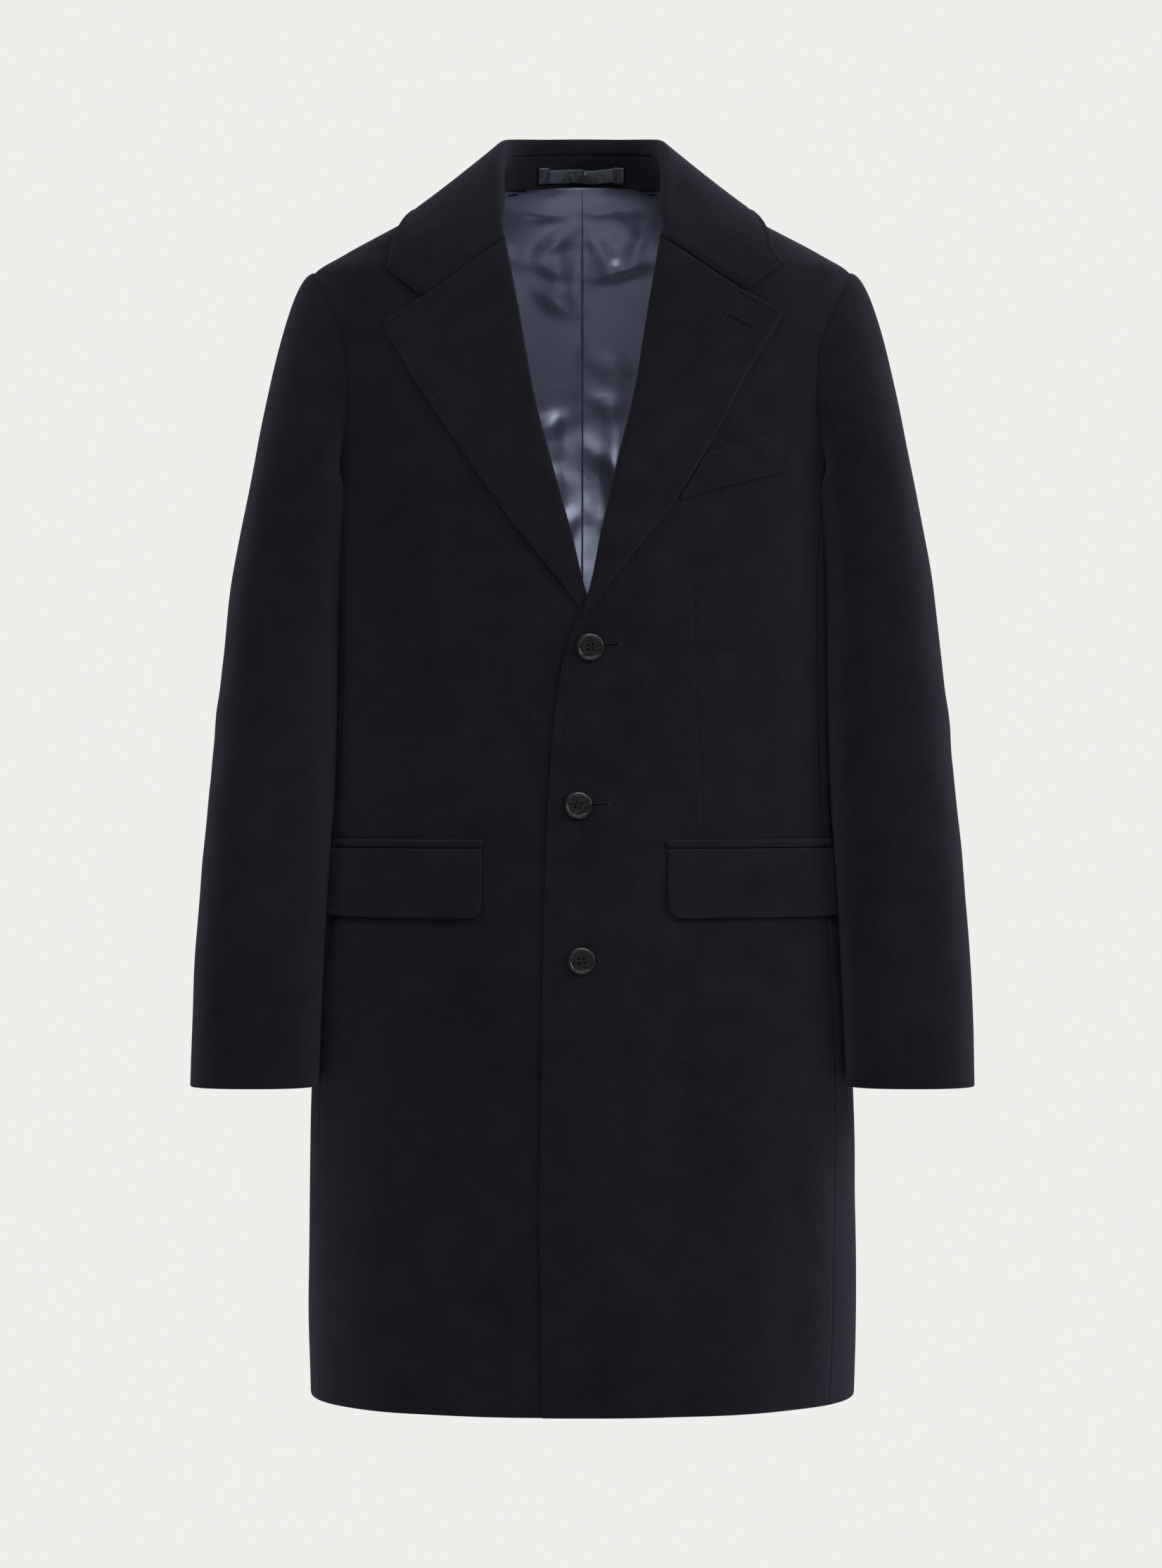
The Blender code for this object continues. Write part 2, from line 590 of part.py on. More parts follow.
def collar_row(place):
    """Outer points of the collar at one station, from its edge over the fold to the stand seam."""
    station = station_at(place)
    fold, neck, up, out = collar_frame(station)
    neck_angle = degrees(asin(min(abs(neck.x) / ring_at(neck.z).half_width, 1.0)**(RING_POWER / 2)))
    if neck.y > 0:
        neck_angle = 180 - neck_angle
    radius = min(FOLD_RADIUS, 0.40 * (fold - neck).length)
    middle = fold - up * radius
    turned = middle + (out * cos(radians(FOLD_TURNS[0])) + up * sin(radians(FOLD_TURNS[0]))) * radius
    row = []
    for share in FALL_SHARES:
        base = trunk(mix(station.edge_angle, neck_angle, share), mix(station.edge_z, neck.z, share))
        row.append(lifted(base, COLLAR_LIFT * (1 - share)) + (turned - neck) * share)
    for turn in FOLD_TURNS:
        a = radians(turn)
        row.append(middle + out * (radius * cos(a)) + up * (radius * sin(a)))
    drop = min(STAND_SEAM_DROP, 0.60 * (fold - neck).length)
    row.append(middle - out * radius * 1.02 - up * (drop - radius))
    return row


def gorge_row(side):
    """Outer points of the collar's end: the tip, the notch, the gorge seam and the roll."""
    tip, notch, roll = COLLAR_TIP[side], NOTCH[side], roll_point(side, 0.0)
    rise = 2 * HALF_SEAM + 0.0003
    row = [on_front(side, tip.x, tip.z, COLLAR_LIFT)]
    for share in FALL_SHARES[1:]:
        toward = (share - FALL_SHARES[1]) / NOTCH_SHARE
        place = lapel_point(side, NOTCH_SHARE * (1 - toward), 0.0)
        row.append(on_front(side, place.x, place.z + rise, lapel_lift(place.x - roll.x) + 0.0006))
    for step in reversed(ROLL_STEPS):
        row.append(on_front(side, roll.x - step.outer_past, roll.z + rise, step.outer_lift))
    row.append(on_front(side, roll.x - 0.0002, roll.z + rise, ROLL_STEPS[0].outer_lift - 0.0012))
    return row


def collar_rows():
    """Rows of the whole collar from the wearer's right tip round the back to the left tip."""
    last = len(COLLAR_STATIONS) - 1
    places = [last * i / 12 for i in range(13)]
    half = [collar_row(place) for place in places]
    mirrored = [[Vector((-p.x, p.y, p.z)) for p in row] for row in half[:0:-1]]
    return [gorge_row("right")] + mirrored + half + [gorge_row("left")]


def grid_normals(grid):
    """Normals of a grid of points from its neighbours."""
    rows, columns = len(grid), len(grid[0])
    normals = []
    for i in range(rows):
        row = []
        for j in range(columns):
            down = grid[min(i + 1, rows - 1)][j] - grid[max(i - 1, 0)][j]
            across = grid[i][min(j + 1, columns - 1)] - grid[i][max(j - 1, 0)]
            row.append(down.cross(across).normalized())
        normals.append(row)
    return normals


def collar_fall(paint, collection):
    """The outer collar, over its fold and down to the seam of the stand."""
    outer = collar_rows()
    normals = grid_normals(outer)
    thick = [DOUBLE_WOOL] * len(FALL_SHARES) + [FOLD_WOOL] * (len(FOLD_TURNS) + 1)
    inner = [[p - n * t for p, n, t in zip(row, turns, thick)] for row, turns in zip(outer, normals)]
    return wall("collar_fall", outer, inner, paint, collection)


def stand_point(place, share):
    """Point of the stand's inside face: share 0 at its seam with the fall, 1 at the neck."""
    station = station_at(place)
    fold, neck, up, out = collar_frame(station)
    seam = collar_row(place)[-1]
    foot = neck - out * 0.0008 + up * 0.0015
    top = seam + (foot - seam).normalized() * STAND_CLEAR
    return top.lerp(foot, share), out


def collar_stand(paint, collection):
    """The band that stands up from the neck inside the collar."""
    last = len(COLLAR_STATIONS) - 1
    places = [last * i / 11 for i in range(12)]
    half = [[stand_point(place, share)[0] for share in (0.0, 0.5, 1.0)] for place in places]
    rows = [[Vector((-p.x, p.y, p.z)) for p in row] for row in half[:0:-1]] + half
    backs = []
    for row, turns in zip(rows, grid_normals(rows)):
        outward = [n if n.x * p.x + n.y * p.y > 0 else -n for p, n in zip(row, turns)]
        backs.append([p + n * WOOL for p, n in zip(row, outward)])
    return wall("collar_stand", rows, backs, paint, collection)


LOOP_HALF, LOOP_BOW, LOOP_TOP, LOOP_FOOT = 0.0360, 0.0022, 0.34, 0.80


def hanger_loop(paint, collection):
    """Ribbon across the stand at the back, sewn at its ends and bowed out between them."""
    outer, inner = [], []
    steps = 12
    for step in range(-steps // 2, steps // 2 + 1):
        share = step / (steps / 2)
        place = abs(share) * LOOP_HALF / COLLAR_STATIONS[1].neck_x
        bow = 2 * REST_GAP + LOOP_BOW * (1 - share * share)
        outer_row, inner_row = [], []
        for height in (LOOP_TOP, LOOP_FOOT):
            point, out = stand_point(place, height)
            near, far = point - out * bow, point - out * (bow + SATIN)
            flip = -1 if share < 0 else 1
            outer_row.append(Vector((far.x * flip, far.y, far.z)))
            inner_row.append(Vector((near.x * flip, near.y, near.z)))
        outer.append(outer_row)
        inner.append(inner_row)
    return wall("hanger_loop", outer, inner, paint, collection)


# ---------------------------------------------------------------- pockets
def laid_on(name, side, corners, columns, rows, lift, thick, paint, collection):
    """Piece lying on a front: corners gives its place at shares across and down."""
    outer, inner = [], []
    for row in range(rows + 1):
        places = [corners(place / columns, row / rows) for place in range(columns + 1)]
        outer.append([on_front(side, p.x, p.z, lift + thick) for p in places])
        inner.append([on_front(side, p.x, p.z, lift) for p in places])
    return wall(name, outer, inner, paint, collection)


def pocket(side, wool, collection):
    """Hip pocket: the jet along its mouth and the flap that hangs from it."""
    def between(inner_x, outer_x, across, z):
        angle = mix(angle_of(inner_x, z), angle_of(outer_x, z), across)
        return LinePoint(trunk(angle, z).x, z)

    def jet_place(across, down):
        z = mix(JET_TOP_Z, FLAP_TOP_Z + 2 * HALF_SEAM, down)
        return between(FLAP_INNER_X[side] - 0.001, FLAP_OUTER_X - 0.005, across, z)

    def flap_place(across, down):
        z = mix(FLAP_TOP_Z, FLAP_BOTTOM_Z, down)
        foot = max(0.0, 1 - (z - FLAP_BOTTOM_Z) / FLAP_CORNER)
        inset = FLAP_CORNER * (1 - sqrt(max(1 - foot * foot, 0.0)))
        return between(FLAP_INNER_X[side] + inset, FLAP_OUTER_X, across, z)

    laid_on("pocket_jet_" + side, side, jet_place, 10, 1, POCKET_GAP, WOOL, wool, collection)
    laid_on("pocket_flap_" + side, side, flap_place, 10, 5, POCKET_GAP, DOUBLE_WOOL, wool, collection)


def breast_welt(paint, collection):
    """Slanted chest pocket on the wearer's left, running in under the lapel."""
    def place(across, down):
        top, foot = along(WELT_TOP, across), along(WELT_BOTTOM, across)
        x, z = mix(top.x, foot.x, down), mix(top.z, foot.z, down)
        return LinePoint(max(x, column(LAPEL_EDGE["left"], "z", "x", z) + 0.0014), z)

    laid_on("breast_welt", "left", place, 6, 3, REST_GAP, WOOL, paint, collection)


# ---------------------------------------------------------------- sleeves
def sleeve_ring_point(turn, z):
    """Point of a sleeve below the armpit: turn 0 is its front, 90 outside, -90 inside."""
    ring = SleeveRing(z, *(column(SLEEVE_RINGS, "z", name, z) for name in SleeveRing._fields[1:]))
    s, c = sin(radians(turn)), cos(radians(turn))
    middle, half = (ring.outer + ring.inner) / 2, (ring.outer - ring.inner) / 2
    power = 2 / SLEEVE_POWER
    x = middle + half * abs(s)**power * (1 if s >= 0 else -1)
    y = ring.mid_y - ring.half_y * abs(c)**power * (1 if c >= 0 else -1)
    return Vector((x, y, z))


def kept_clear(point):
    """A sleeve point pushed out sideways where the trunk and its pocket flap are in its way."""
    flap = smooth_step((point.z + 0.625) / 0.03) * smooth_step((-0.500 - point.z) / 0.03)
    side_x = trunk_width_at(point.y, point.z) + SLEEVE_CLEAR + FLAP_CLEAR * flap
    blend = 0.004
    over = point.x - side_x
    return Vector((side_x + (over + sqrt(over * over + blend * blend)) / 2, point.y, point.z))


def sleeve_point(turn, down):
    """Point of the sleeve: down 0 is the armhole, 1 the level of the armpit, 2 the cuff."""
    if down >= 1:
        z = mix(ARMPIT_Z, CUFF_Z, down - 1)
        return kept_clear(sleeve_ring_point(turn, z))
    seam, ring = armhole_point(turn), sleeve_ring_point(turn, ARMPIT_Z)
    seam = lifted(seam, REST_GAP) + Vector((REST_GAP, 0, 0))
    ring = kept_clear(ring)
    reach = (ring - seam).length
    s, c = sin(radians(turn)), cos(radians(turn))
    leave = Vector((0.31, -0.10 * c, -0.02 * s)) * reach
    below = sleeve_ring_point(turn, ARMPIT_Z - 0.010) - sleeve_ring_point(turn, ARMPIT_Z)
    arrive = below.normalized() * reach
    t = down
    point = (seam * (2 * t**3 - 3 * t**2 + 1) + leave * (t**3 - 2 * t**2 + t)
             + ring * (3 * t**2 - 2 * t**3) + arrive * (t**3 - t**2))
    cleared = kept_clear(point)
    return point.lerp(cleared, smooth_step(down / 0.35))


def sleeve_normal(turn, down):
    step = 0.01
    low, high = max(down - step, 0.0), min(down + step, 2.0)
    along_arm = sleeve_point(turn, high) - sleeve_point(turn, low)
    around = sleeve_point(turn + 2.0, down) - sleeve_point(turn - 2.0, down)
    return around.cross(along_arm).normalized()


def sleeve_piece(name, side, first_seam, second_seam, turn_round, columns, paint, collection):
    """One of the two pieces of a sleeve, between two seams that run from the armhole to the cuff."""
    downs = [0.0, 0.06, 0.14, 0.25, 0.40, 0.58, 0.78, 1.0]
    downs += [1 + share for share in (0.10, 0.22, 0.35, 0.48, 0.61, 0.74, 0.87, 1.0)]
    outer, inner = [], []
    for down in downs:
        height = 1 - down / 2
        start = mix(first_seam.hem, first_seam.armhole, height)
        end = mix(second_seam.hem, second_seam.armhole, height) + turn_round
        radius = 0.055 if down > 0.5 else 0.075
        trim = degrees(HALF_SEAM / radius) * 1.6
        turns = [mix(start + trim, end - trim, i / columns) for i in range(columns + 1)]
        points = [sleeve_point(turn, down) for turn in turns]
        normals = [sleeve_normal(turn, down) for turn in turns]
        outer.append(points)
        inner.append([p - n * WOOL for p, n in zip(points, normals)])
    return wall(name, mirror_side(outer, side), mirror_side(inner, side), paint, collection)


def sleeve(side, paint, collection):
    sleeve_piece("sleeve_top_" + side, side, FOREARM_SEAM, HINDARM_SEAM, 0.0, 12, paint, collection)
    sleeve_piece("sleeve_under_" + side, side, HINDARM_SEAM, FOREARM_SEAM, 360.0, 9, paint, collection)


# ---------------------------------------------------------------- buttons
def button_mesh(name, radius, thick, segments):
    """Turned button with a raised rim, a dished middle and four thread holes."""
    profile = [(0.0, 0.62 * thick), (0.66 * radius, 0.70 * thick), (0.84 * radius, thick),
               (radius, 0.62 * thick), (0.84 * radius, 0.0), (0.0, 0.0)]
    shape = bmesh.new()
    points = [shape.verts.new((r, 0.0, z)) for r, z in profile]
    edges = [shape.edges.new(pair) for pair in zip(points, points[1:])]
    bmesh.ops.spin(shape, geom=points + edges, cent=(0, 0, 0), axis=(0, 0, 1), angle=2 * pi,
                   steps=segments, use_merge=True)
    bmesh.ops.remove_doubles(shape, verts=shape.verts[:], dist=1e-6)
    bmesh.ops.recalc_face_normals(shape, faces=shape.faces[:])
    mesh = bpy.data.meshes.new(name)
    shape.to_mesh(mesh)
    shape.free()
    return mesh


def thread_holes(body, radius, thick, collection):
    """Four holes cut through a button, each with its own cutter."""
    for corner in range(4):
        a = radians(45 + 90 * corner)
        cutter_mesh = bpy.data.meshes.new("hole_cutter")
        shape = bmesh.new()
        bmesh.ops.create_cone(shape, cap_ends=True, segments=5, radius1=0.10 * radius,
                              radius2=0.10 * radius, depth=4 * thick)
        shape.to_mesh(cutter_mesh)
        shape.free()
        cutter = bpy.data.objects.new("hole_cutter", cutter_mesh)
        cutter.location = (0.22 * radius * cos(a), 0.22 * radius * sin(a), 0)
        cutter.hide_render = True
        cutter.display_type = "WIRE"
        collection.objects.link(cutter)
        cut = body.modifiers.new("hole", "BOOLEAN")
        cut.operation = "DIFFERENCE"
        cut.object = cutter


def finished_button(name, radius, thick, segments, paint, collection, cutters):
    """A button's mesh with its holes cut, ready to be shared by all buttons of its size."""
    draft = add_object(name, button_mesh(name, radius, thick, segments), paint, collection)
    thread_holes(draft, radius, thick, cutters)
    bpy.context.view_layer.update()
    evaluated = draft.evaluated_get(bpy.context.evaluated_depsgraph_get())
    mesh = bpy.data.meshes.new_from_object(evaluated)
    bpy.data.objects.remove(draft)
    for cutter in list(cutters.objects):
        bpy.data.objects.remove(cutter)
    return mesh


def place_button(name, mesh, seat, facing, paint, collection):
    made = add_object(name, mesh, paint, collection)
    made.rotation_mode = "QUATERNION"
    made.rotation_quaternion = facing.to_track_quat("Z", "Y")
    made.location = seat
    return made


def front_buttons(mesh, paint, collection):
    for number, place in enumerate(FRONT_BUTTONS, 1):
        seat = on_front("left", place.x, place.z, REST_GAP)
        facing = trunk_normal(trunk(angle_of(place.x, place.z), place.z))
        place_button(f"button_front_{number}", mesh, seat, facing, paint, collection)


def sleeve_buttons(side, mesh, paint, collection):
    """Four small buttons that overlap like shingles along the seam at the back of the cuff."""
    tilt = radians(SLEEVE_BUTTON_TILT)
    for number in range(4):
        z = SLEEVE_BUTTON_LOW_Z + number * SLEEVE_BUTTON_STEP
        down = 1 + (z - ARMPIT_Z) / (CUFF_Z - ARMPIT_Z)
        turn = mix(HINDARM_SEAM.hem, HINDARM_SEAM.armhole, 1 - down / 2) - 19.0
        normal = sleeve_normal(turn, down)
        facing = (normal * cos(tilt) - Vector((0, 0, 1)) * sin(tilt)).normalized()
        seat = sleeve_point(turn, down) + normal * (REST_GAP + SLEEVE_BUTTON_RADIUS * sin(tilt))
        seat.x, facing.x = seat.x * SIDES[side], facing.x * SIDES[side]
        place_button(f"button_sleeve_{side}_{number + 1}", mesh, seat, facing, paint, collection)


# ---------------------------------------------------------------- the coat
def new_collection(name):
    made = bpy.data.collections.new(name)
    bpy.context.scene.collection.children.link(made)
    return made


def build():
    for thing in list(bpy.data.objects):
        bpy.data.objects.remove(thing)
    coat, cutters = new_collection("wool_overcoat"), new_collection("cutters")
    wool = material("navy_wool", (0.010, 0.012, 0.022), 0.95, sheen=0.4)
    satin = material("blue_satin", (0.10, 0.17, 0.26), 0.45)
    ribbon = material("navy_ribbon", (0.020, 0.026, 0.045), 0.50)
    horn = material("black_horn", (0.008, 0.008, 0.010), 0.25)

    for side in SIDES:
        front(side, wool, coat)
        side_panel(side, wool, coat)
        back(side, wool, coat)
        lining_back(side, satin, coat)
        lapel(side, wool, coat)
        pocket(side, wool, coat)
        sleeve(side, wool, coat)
    breast_welt(wool, coat)
    collar_fall(wool, coat)
    collar_stand(wool, coat)
    hanger_loop(ribbon, coat)

    large = finished_button("button_large", FRONT_BUTTON_RADIUS, FRONT_BUTTON_THICK, 18, horn, coat, cutters)
    small = finished_button("button_small", SLEEVE_BUTTON_RADIUS, SLEEVE_BUTTON_THICK, 10, horn, coat, cutters)
    front_buttons(large, horn, coat)
    for side in SIDES:
        sleeve_buttons(side, small, horn, coat)


build()
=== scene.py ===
import math
import bpy
import numpy as np
from mathutils import Matrix, Vector


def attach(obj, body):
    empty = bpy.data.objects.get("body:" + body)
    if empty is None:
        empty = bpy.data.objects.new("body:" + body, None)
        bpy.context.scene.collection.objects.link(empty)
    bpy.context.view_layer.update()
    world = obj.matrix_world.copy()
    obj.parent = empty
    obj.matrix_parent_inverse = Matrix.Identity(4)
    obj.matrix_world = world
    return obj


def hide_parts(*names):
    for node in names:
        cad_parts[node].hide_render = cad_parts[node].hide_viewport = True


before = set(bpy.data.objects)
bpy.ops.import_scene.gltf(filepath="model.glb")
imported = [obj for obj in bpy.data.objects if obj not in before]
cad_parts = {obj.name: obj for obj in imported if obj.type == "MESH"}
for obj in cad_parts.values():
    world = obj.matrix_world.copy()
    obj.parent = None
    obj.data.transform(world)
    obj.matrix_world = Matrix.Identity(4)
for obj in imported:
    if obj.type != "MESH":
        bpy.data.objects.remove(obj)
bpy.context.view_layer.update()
bpy.ops.object.select_all(action="DESELECT")
print("frame loaded:", len(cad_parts), "nodes")

# the coat's frame: metres, +Z up, front towards -Y, the wearer's left is +X, origin in the neck hole
coat = {
    "wool": 0.0020, "doubleWool": 0.0036, "satin": 0.0010, "restGap": 0.0005, "liningGap": 0.0012,
    "hemZ": -0.978, "breakZ": -0.339, "shoulderZ": -0.074, "napeZ": 0.010,
    "neckHalf": 0.083, "wrap": 0.0030, "ringPower": 2.3,
}

# trunk sections: height, half width, depth of the front and of the back
bodyRings = np.array([
    (-0.980, 0.2195, 0.1650, 0.156), (-0.900, 0.2210, 0.1620, 0.151), (-0.800, 0.2205, 0.1590, 0.145),
    (-0.730, 0.2190, 0.1570, 0.140), (-0.670, 0.2162, 0.1540, 0.137), (-0.590, 0.2085, 0.1490, 0.133),
    (-0.530, 0.2048, 0.1440, 0.128), (-0.470, 0.2016, 0.1400, 0.122), (-0.410, 0.1992, 0.1380, 0.119),
    (-0.330, 0.1982, 0.1390, 0.124), (-0.250, 0.2010, 0.1340, 0.132), (-0.190, 0.2180, 0.1220, 0.132),
    (-0.155, 0.2270, 0.1120, 0.128), (-0.120, 0.2275, 0.1000, 0.121), (-0.095, 0.2235, 0.0915, 0.115),
    (-0.074, 0.2170, 0.0830, 0.109), (-0.059, 0.1940, 0.0750, 0.105), (-0.042, 0.1630, 0.0665, 0.100),
    (-0.020, 0.1220, 0.0500, 0.092), (0.000, 0.0845, 0.0330, 0.084), (0.010, 0.0640, 0.0250, 0.078),
])
frontSeam = {"left": (61.0, 71.0), "right": (71.0, 73.0)}   # angle at the hem and at the armhole
backSeam = (118.0, 122.0)
armhole = {"midZ": -0.1595, "halfZ": 0.0855, "halfY": 0.071, "egg": 0.18}
signOf = {"left": 1.0, "right": -1.0}

# lines on the fronts as (x, z), from the top down
neckLine = [(0.0830, 0.0000), (0.0818, -0.0100), (0.0780, -0.0240), (0.0715, -0.0390), (0.0645, -0.0535)]
rollLine = {
    "left": [(0.0645, -0.0535), (0.0539, -0.1163), (0.0435, -0.1792), (0.0311, -0.2300),
             (0.0184, -0.2854), (0.0047, -0.3388), (0.0012, -0.3465)],
    "right": [(0.0640, -0.0550), (0.0519, -0.1195), (0.0413, -0.1792), (0.0267, -0.2356),
              (0.0113, -0.2909), (-0.0030, -0.3388), (-0.0058, -0.3455)],
}
frontEdge = {
    "left": [(0.0047, -0.3388), (-0.0085, -0.3679), (-0.0168, -0.3981), (-0.0222, -0.4393),
             (-0.0266, -0.5036), (-0.0295, -0.5835), (-0.0314, -0.7036), (-0.0330, -0.8241),
             (-0.0310, -0.9820)],
    "right": [(-0.0030, -0.3388), (-0.0140, -0.3640), (-0.0230, -0.3950), (-0.0290, -0.4393),
              (-0.0330, -0.5036), (-0.0340, -0.7036), (-0.0340, -0.9820)],
}
lapelEdge = {
    "left": [(0.1605, -0.1111), (0.1285, -0.1640), (0.1010, -0.2165), (0.0735, -0.2620),
             (0.0400, -0.3050), (0.0110, -0.3430), (0.0002, -0.3580)],
    "right": [(0.1593, -0.1190), (0.1325, -0.1665), (0.0930, -0.2260), (0.0620, -0.2715),
              (0.0310, -0.3110), (0.0050, -0.3450), (-0.0020, -0.3570)],
}
notch = {"left": (0.1295, -0.0950), "right": (0.1275, -0.0995)}
collarTip = {"left": (0.1584, -0.0704), "right": (0.1540, -0.0765)}
notchShare = 0.72

# collar stations from the middle back to the gorge: fold x, y, z, edge angle and height, neck x
collarStations = np.array([
    (0.0000, 0.0660, 0.0456, 180.0, -0.0180, 0.0000), (0.0280, 0.0635, 0.0451, 151.0, -0.0195, 0.0340),
    (0.0500, 0.0510, 0.0435, 124.0, -0.0230, 0.0585), (0.0630, 0.0300, 0.0400, 101.0, -0.0255, 0.0755),
    (0.0680, 0.0040, 0.0280, 81.0, -0.0295, 0.0829), (0.0692, -0.0190, 0.0120, 66.0, -0.0385, 0.0820),
    (0.0690, -0.0385, -0.0065, 55.6, -0.0490, 0.0780), (0.0680, -0.0590, -0.0285, 48.2, -0.0600, 0.0720),
])

# sleeve sections below the armpit: height, outer and inner reach, middle and half depth
sleeveRings = np.array([
    (-0.2500, 0.2662, 0.1885, -0.012, 0.0800), (-0.3300, 0.2803, 0.1972, -0.024, 0.0735),
    (-0.4150, 0.2888, 0.1982, -0.036, 0.0675), (-0.5000, 0.2970, 0.2004, -0.048, 0.0610),
    (-0.5750, 0.3035, 0.2052, -0.058, 0.0555), (-0.6500, 0.3082, 0.2090, -0.067, 0.0510),
    (-0.7255, 0.3092, 0.2115, -0.076, 0.0475),
])
sleeveCut = {"power": 2.4, "clear": -0.0003, "soft": 0.0012, "flapClear": 0.0052, "flapZ": (-0.625, -0.500),
             "sunk": 0.0003, "forearm": (-48.0, -38.0), "hindarm": (122.0, 158.0)}   # seams at cuff and armhole


def hermite(t, first, leave, last, arrive, width=1.0):
    return ((2 * t**3 - 3 * t**2 + 1) * first + (t**3 - 2 * t**2 + t) * width * leave
            + (3 * t**2 - 2 * t**3) * last + (t**3 - t**2) * width * arrive)


def smoothCurve(knots, values, at):
    # monotone curve through the values, for whole arrays
    knots, values = np.asarray(knots, float), np.asarray(values, float)
    if knots[0] > knots[-1]:
        knots, values = knots[::-1], values[::-1]
    rates = np.diff(values) / np.diff(knots)
    both = rates[:-1] * rates[1:]
    total = rates[:-1] + rates[1:]
    inner = np.where(both > 0, 2 * both / np.where(total == 0, 1, total), 0.0)
    slopes = np.concatenate([rates[:1], inner, rates[-1:]])
    at = np.clip(at, knots[0], knots[-1])
    k = np.clip(np.searchsorted(knots, at) - 1, 0, len(knots) - 2)
    width = knots[k + 1] - knots[k]
    return hermite((at - knots[k]) / width, values[k], slopes[k], values[k + 1], slopes[k + 1], width)


def lineX(line, z):
    return smoothCurve([p[1] for p in line], [p[0] for p in line], z)


def alongLine(line, share):
    line = np.array(line)
    reach = np.concatenate([[0], np.cumsum(np.linalg.norm(np.diff(line, axis=0), axis=1))])
    return [smoothCurve(reach / reach[-1], line[:, k], share) for k in (0, 1)]


def blendTo(a, b, t):
    return a + (b - a) * t


def smoothStep(t):
    t = np.clip(t, 0.0, 1.0)
    return t * t * (3 - 2 * t)


def unit(v):
    return v / np.maximum(np.linalg.norm(v, axis=-1, keepdims=True), 1e-12)


def times(points, amount):
    return points * np.asarray(amount)[..., None]


def trunkRing(z):
    return [smoothCurve(bodyRings[:, 0], bodyRings[:, k], z) for k in (1, 2, 3)]


def trunkPoint(angle, z):
    # angle 0 is the middle front, 90 the wearer's left side, 180 the middle back
    angle, z = np.broadcast_arrays(np.asarray(angle, float), np.asarray(z, float))
    halfWidth, front, back = trunkRing(z)
    s, c = np.sin(np.radians(angle)), np.cos(np.radians(angle))
    power = 2 / coat["ringPower"]
    x = halfWidth * np.abs(s)**power * np.sign(s)
    y = -np.where(c >= 0, front, back) * np.abs(c)**power * np.sign(c)
    return np.stack([x, y, z], axis=-1)


def trunkNormal(points):
    x, y, z = points[..., 0], points[..., 1], points[..., 2]
    step, power = 0.0008, coat["ringPower"]
    low, ring, high = trunkRing(z - step), trunkRing(z), trunkRing(z + step)
    depth, lowDepth, highDepth = (np.where(y <= 0, r[1], r[2]) for r in (ring, low, high))
    across, through = np.abs(x) / ring[0], np.abs(y) / depth
    alongX = across**(power - 1) / ring[0] * np.sign(x + 1e-12)
    alongY = through**(power - 1) / depth * np.sign(y + 1e-12)
    alongZ = -(across**power * (high[0] - low[0]) / (2 * step * ring[0])
               + through**power * (highDepth - lowDepth) / (2 * step * depth))
    return unit(np.stack([alongX, alongY, alongZ], axis=-1))


def angleOf(x, z):
    share = np.minimum(np.abs(x) / trunkRing(z)[0], 1.0)
    return np.degrees(np.arcsin(share**(coat["ringPower"] / 2))) * np.where(np.asarray(x) >= 0, 1.0, -1.0)


def trunkWidthAt(y, z):
    halfWidth, front, back = trunkRing(z)
    share = np.abs(y) / np.where(y <= 0, front, back)
    return halfWidth * np.maximum(1 - share**coat["ringPower"], 0.0)**(1 / coat["ringPower"])


# soft creases of the trunk: angle and height of both ends, width, depth; a depth below 0 is a trough
bodyCreases = [
    (30, -0.56, 27, -1.10, 0.034, 0.0020), (45, -0.62, 47, -1.12, 0.026, -0.0022),
    (14, -0.72, 16, -1.10, 0.022, -0.0012), (-26, -0.60, -30, -1.12, 0.030, -0.0018),
    (-44, -0.58, -41, -1.10, 0.028, 0.0022), (-12, -0.66, -15, -1.02, 0.020, 0.0010),
    (4, -0.392, 34, -0.430, 0.014, -0.0011), (-8, -0.402, -36, -0.448, 0.016, -0.0013),
    (6, -0.508, 24, -0.490, 0.012, 0.0008), (-9, -0.505, -27, -0.482, 0.013, 0.0009),
    (52, -0.13, 57, -0.25, 0.014, -0.0016), (-51, -0.14, -58, -0.27, 0.015, -0.0018),
    (40, -0.060, 52, -0.150, 0.016, 0.0008), (144, -0.10, 152, -0.36, 0.026, 0.0022),
    (-146, -0.09, -150, -0.33, 0.024, 0.0024), (166, -0.12, 170, -0.46, 0.022, -0.0016),
    (-162, -0.16, -168, -0.50, 0.024, -0.0018), (150, -0.40, 178, -0.425, 0.018, -0.0020),
    (-140, -0.41, -176, -0.440, 0.017, -0.0017), (138, -0.44, 165, -0.475, 0.014, 0.0013),
    (-134, -0.45, -160, -0.480, 0.013, 0.0012), (160, -0.54, 154, -1.12, 0.032, 0.0030),
    (172, -0.60, 175, -1.12, 0.024, -0.0026), (-158, -0.56, -163, -1.12, 0.030, 0.0026),
    (-171, -0.66, -174, -1.12, 0.022, -0.0020), (137, -0.60, 133, -1.12, 0.028, -0.0024),
    (-136, -0.64, -132, -1.12, 0.027, -0.0028), (96, -0.76, 98, -1.12, 0.026, 0.0018),
    (-98, -0.74, -95, -1.12, 0.025, 0.0020),
]


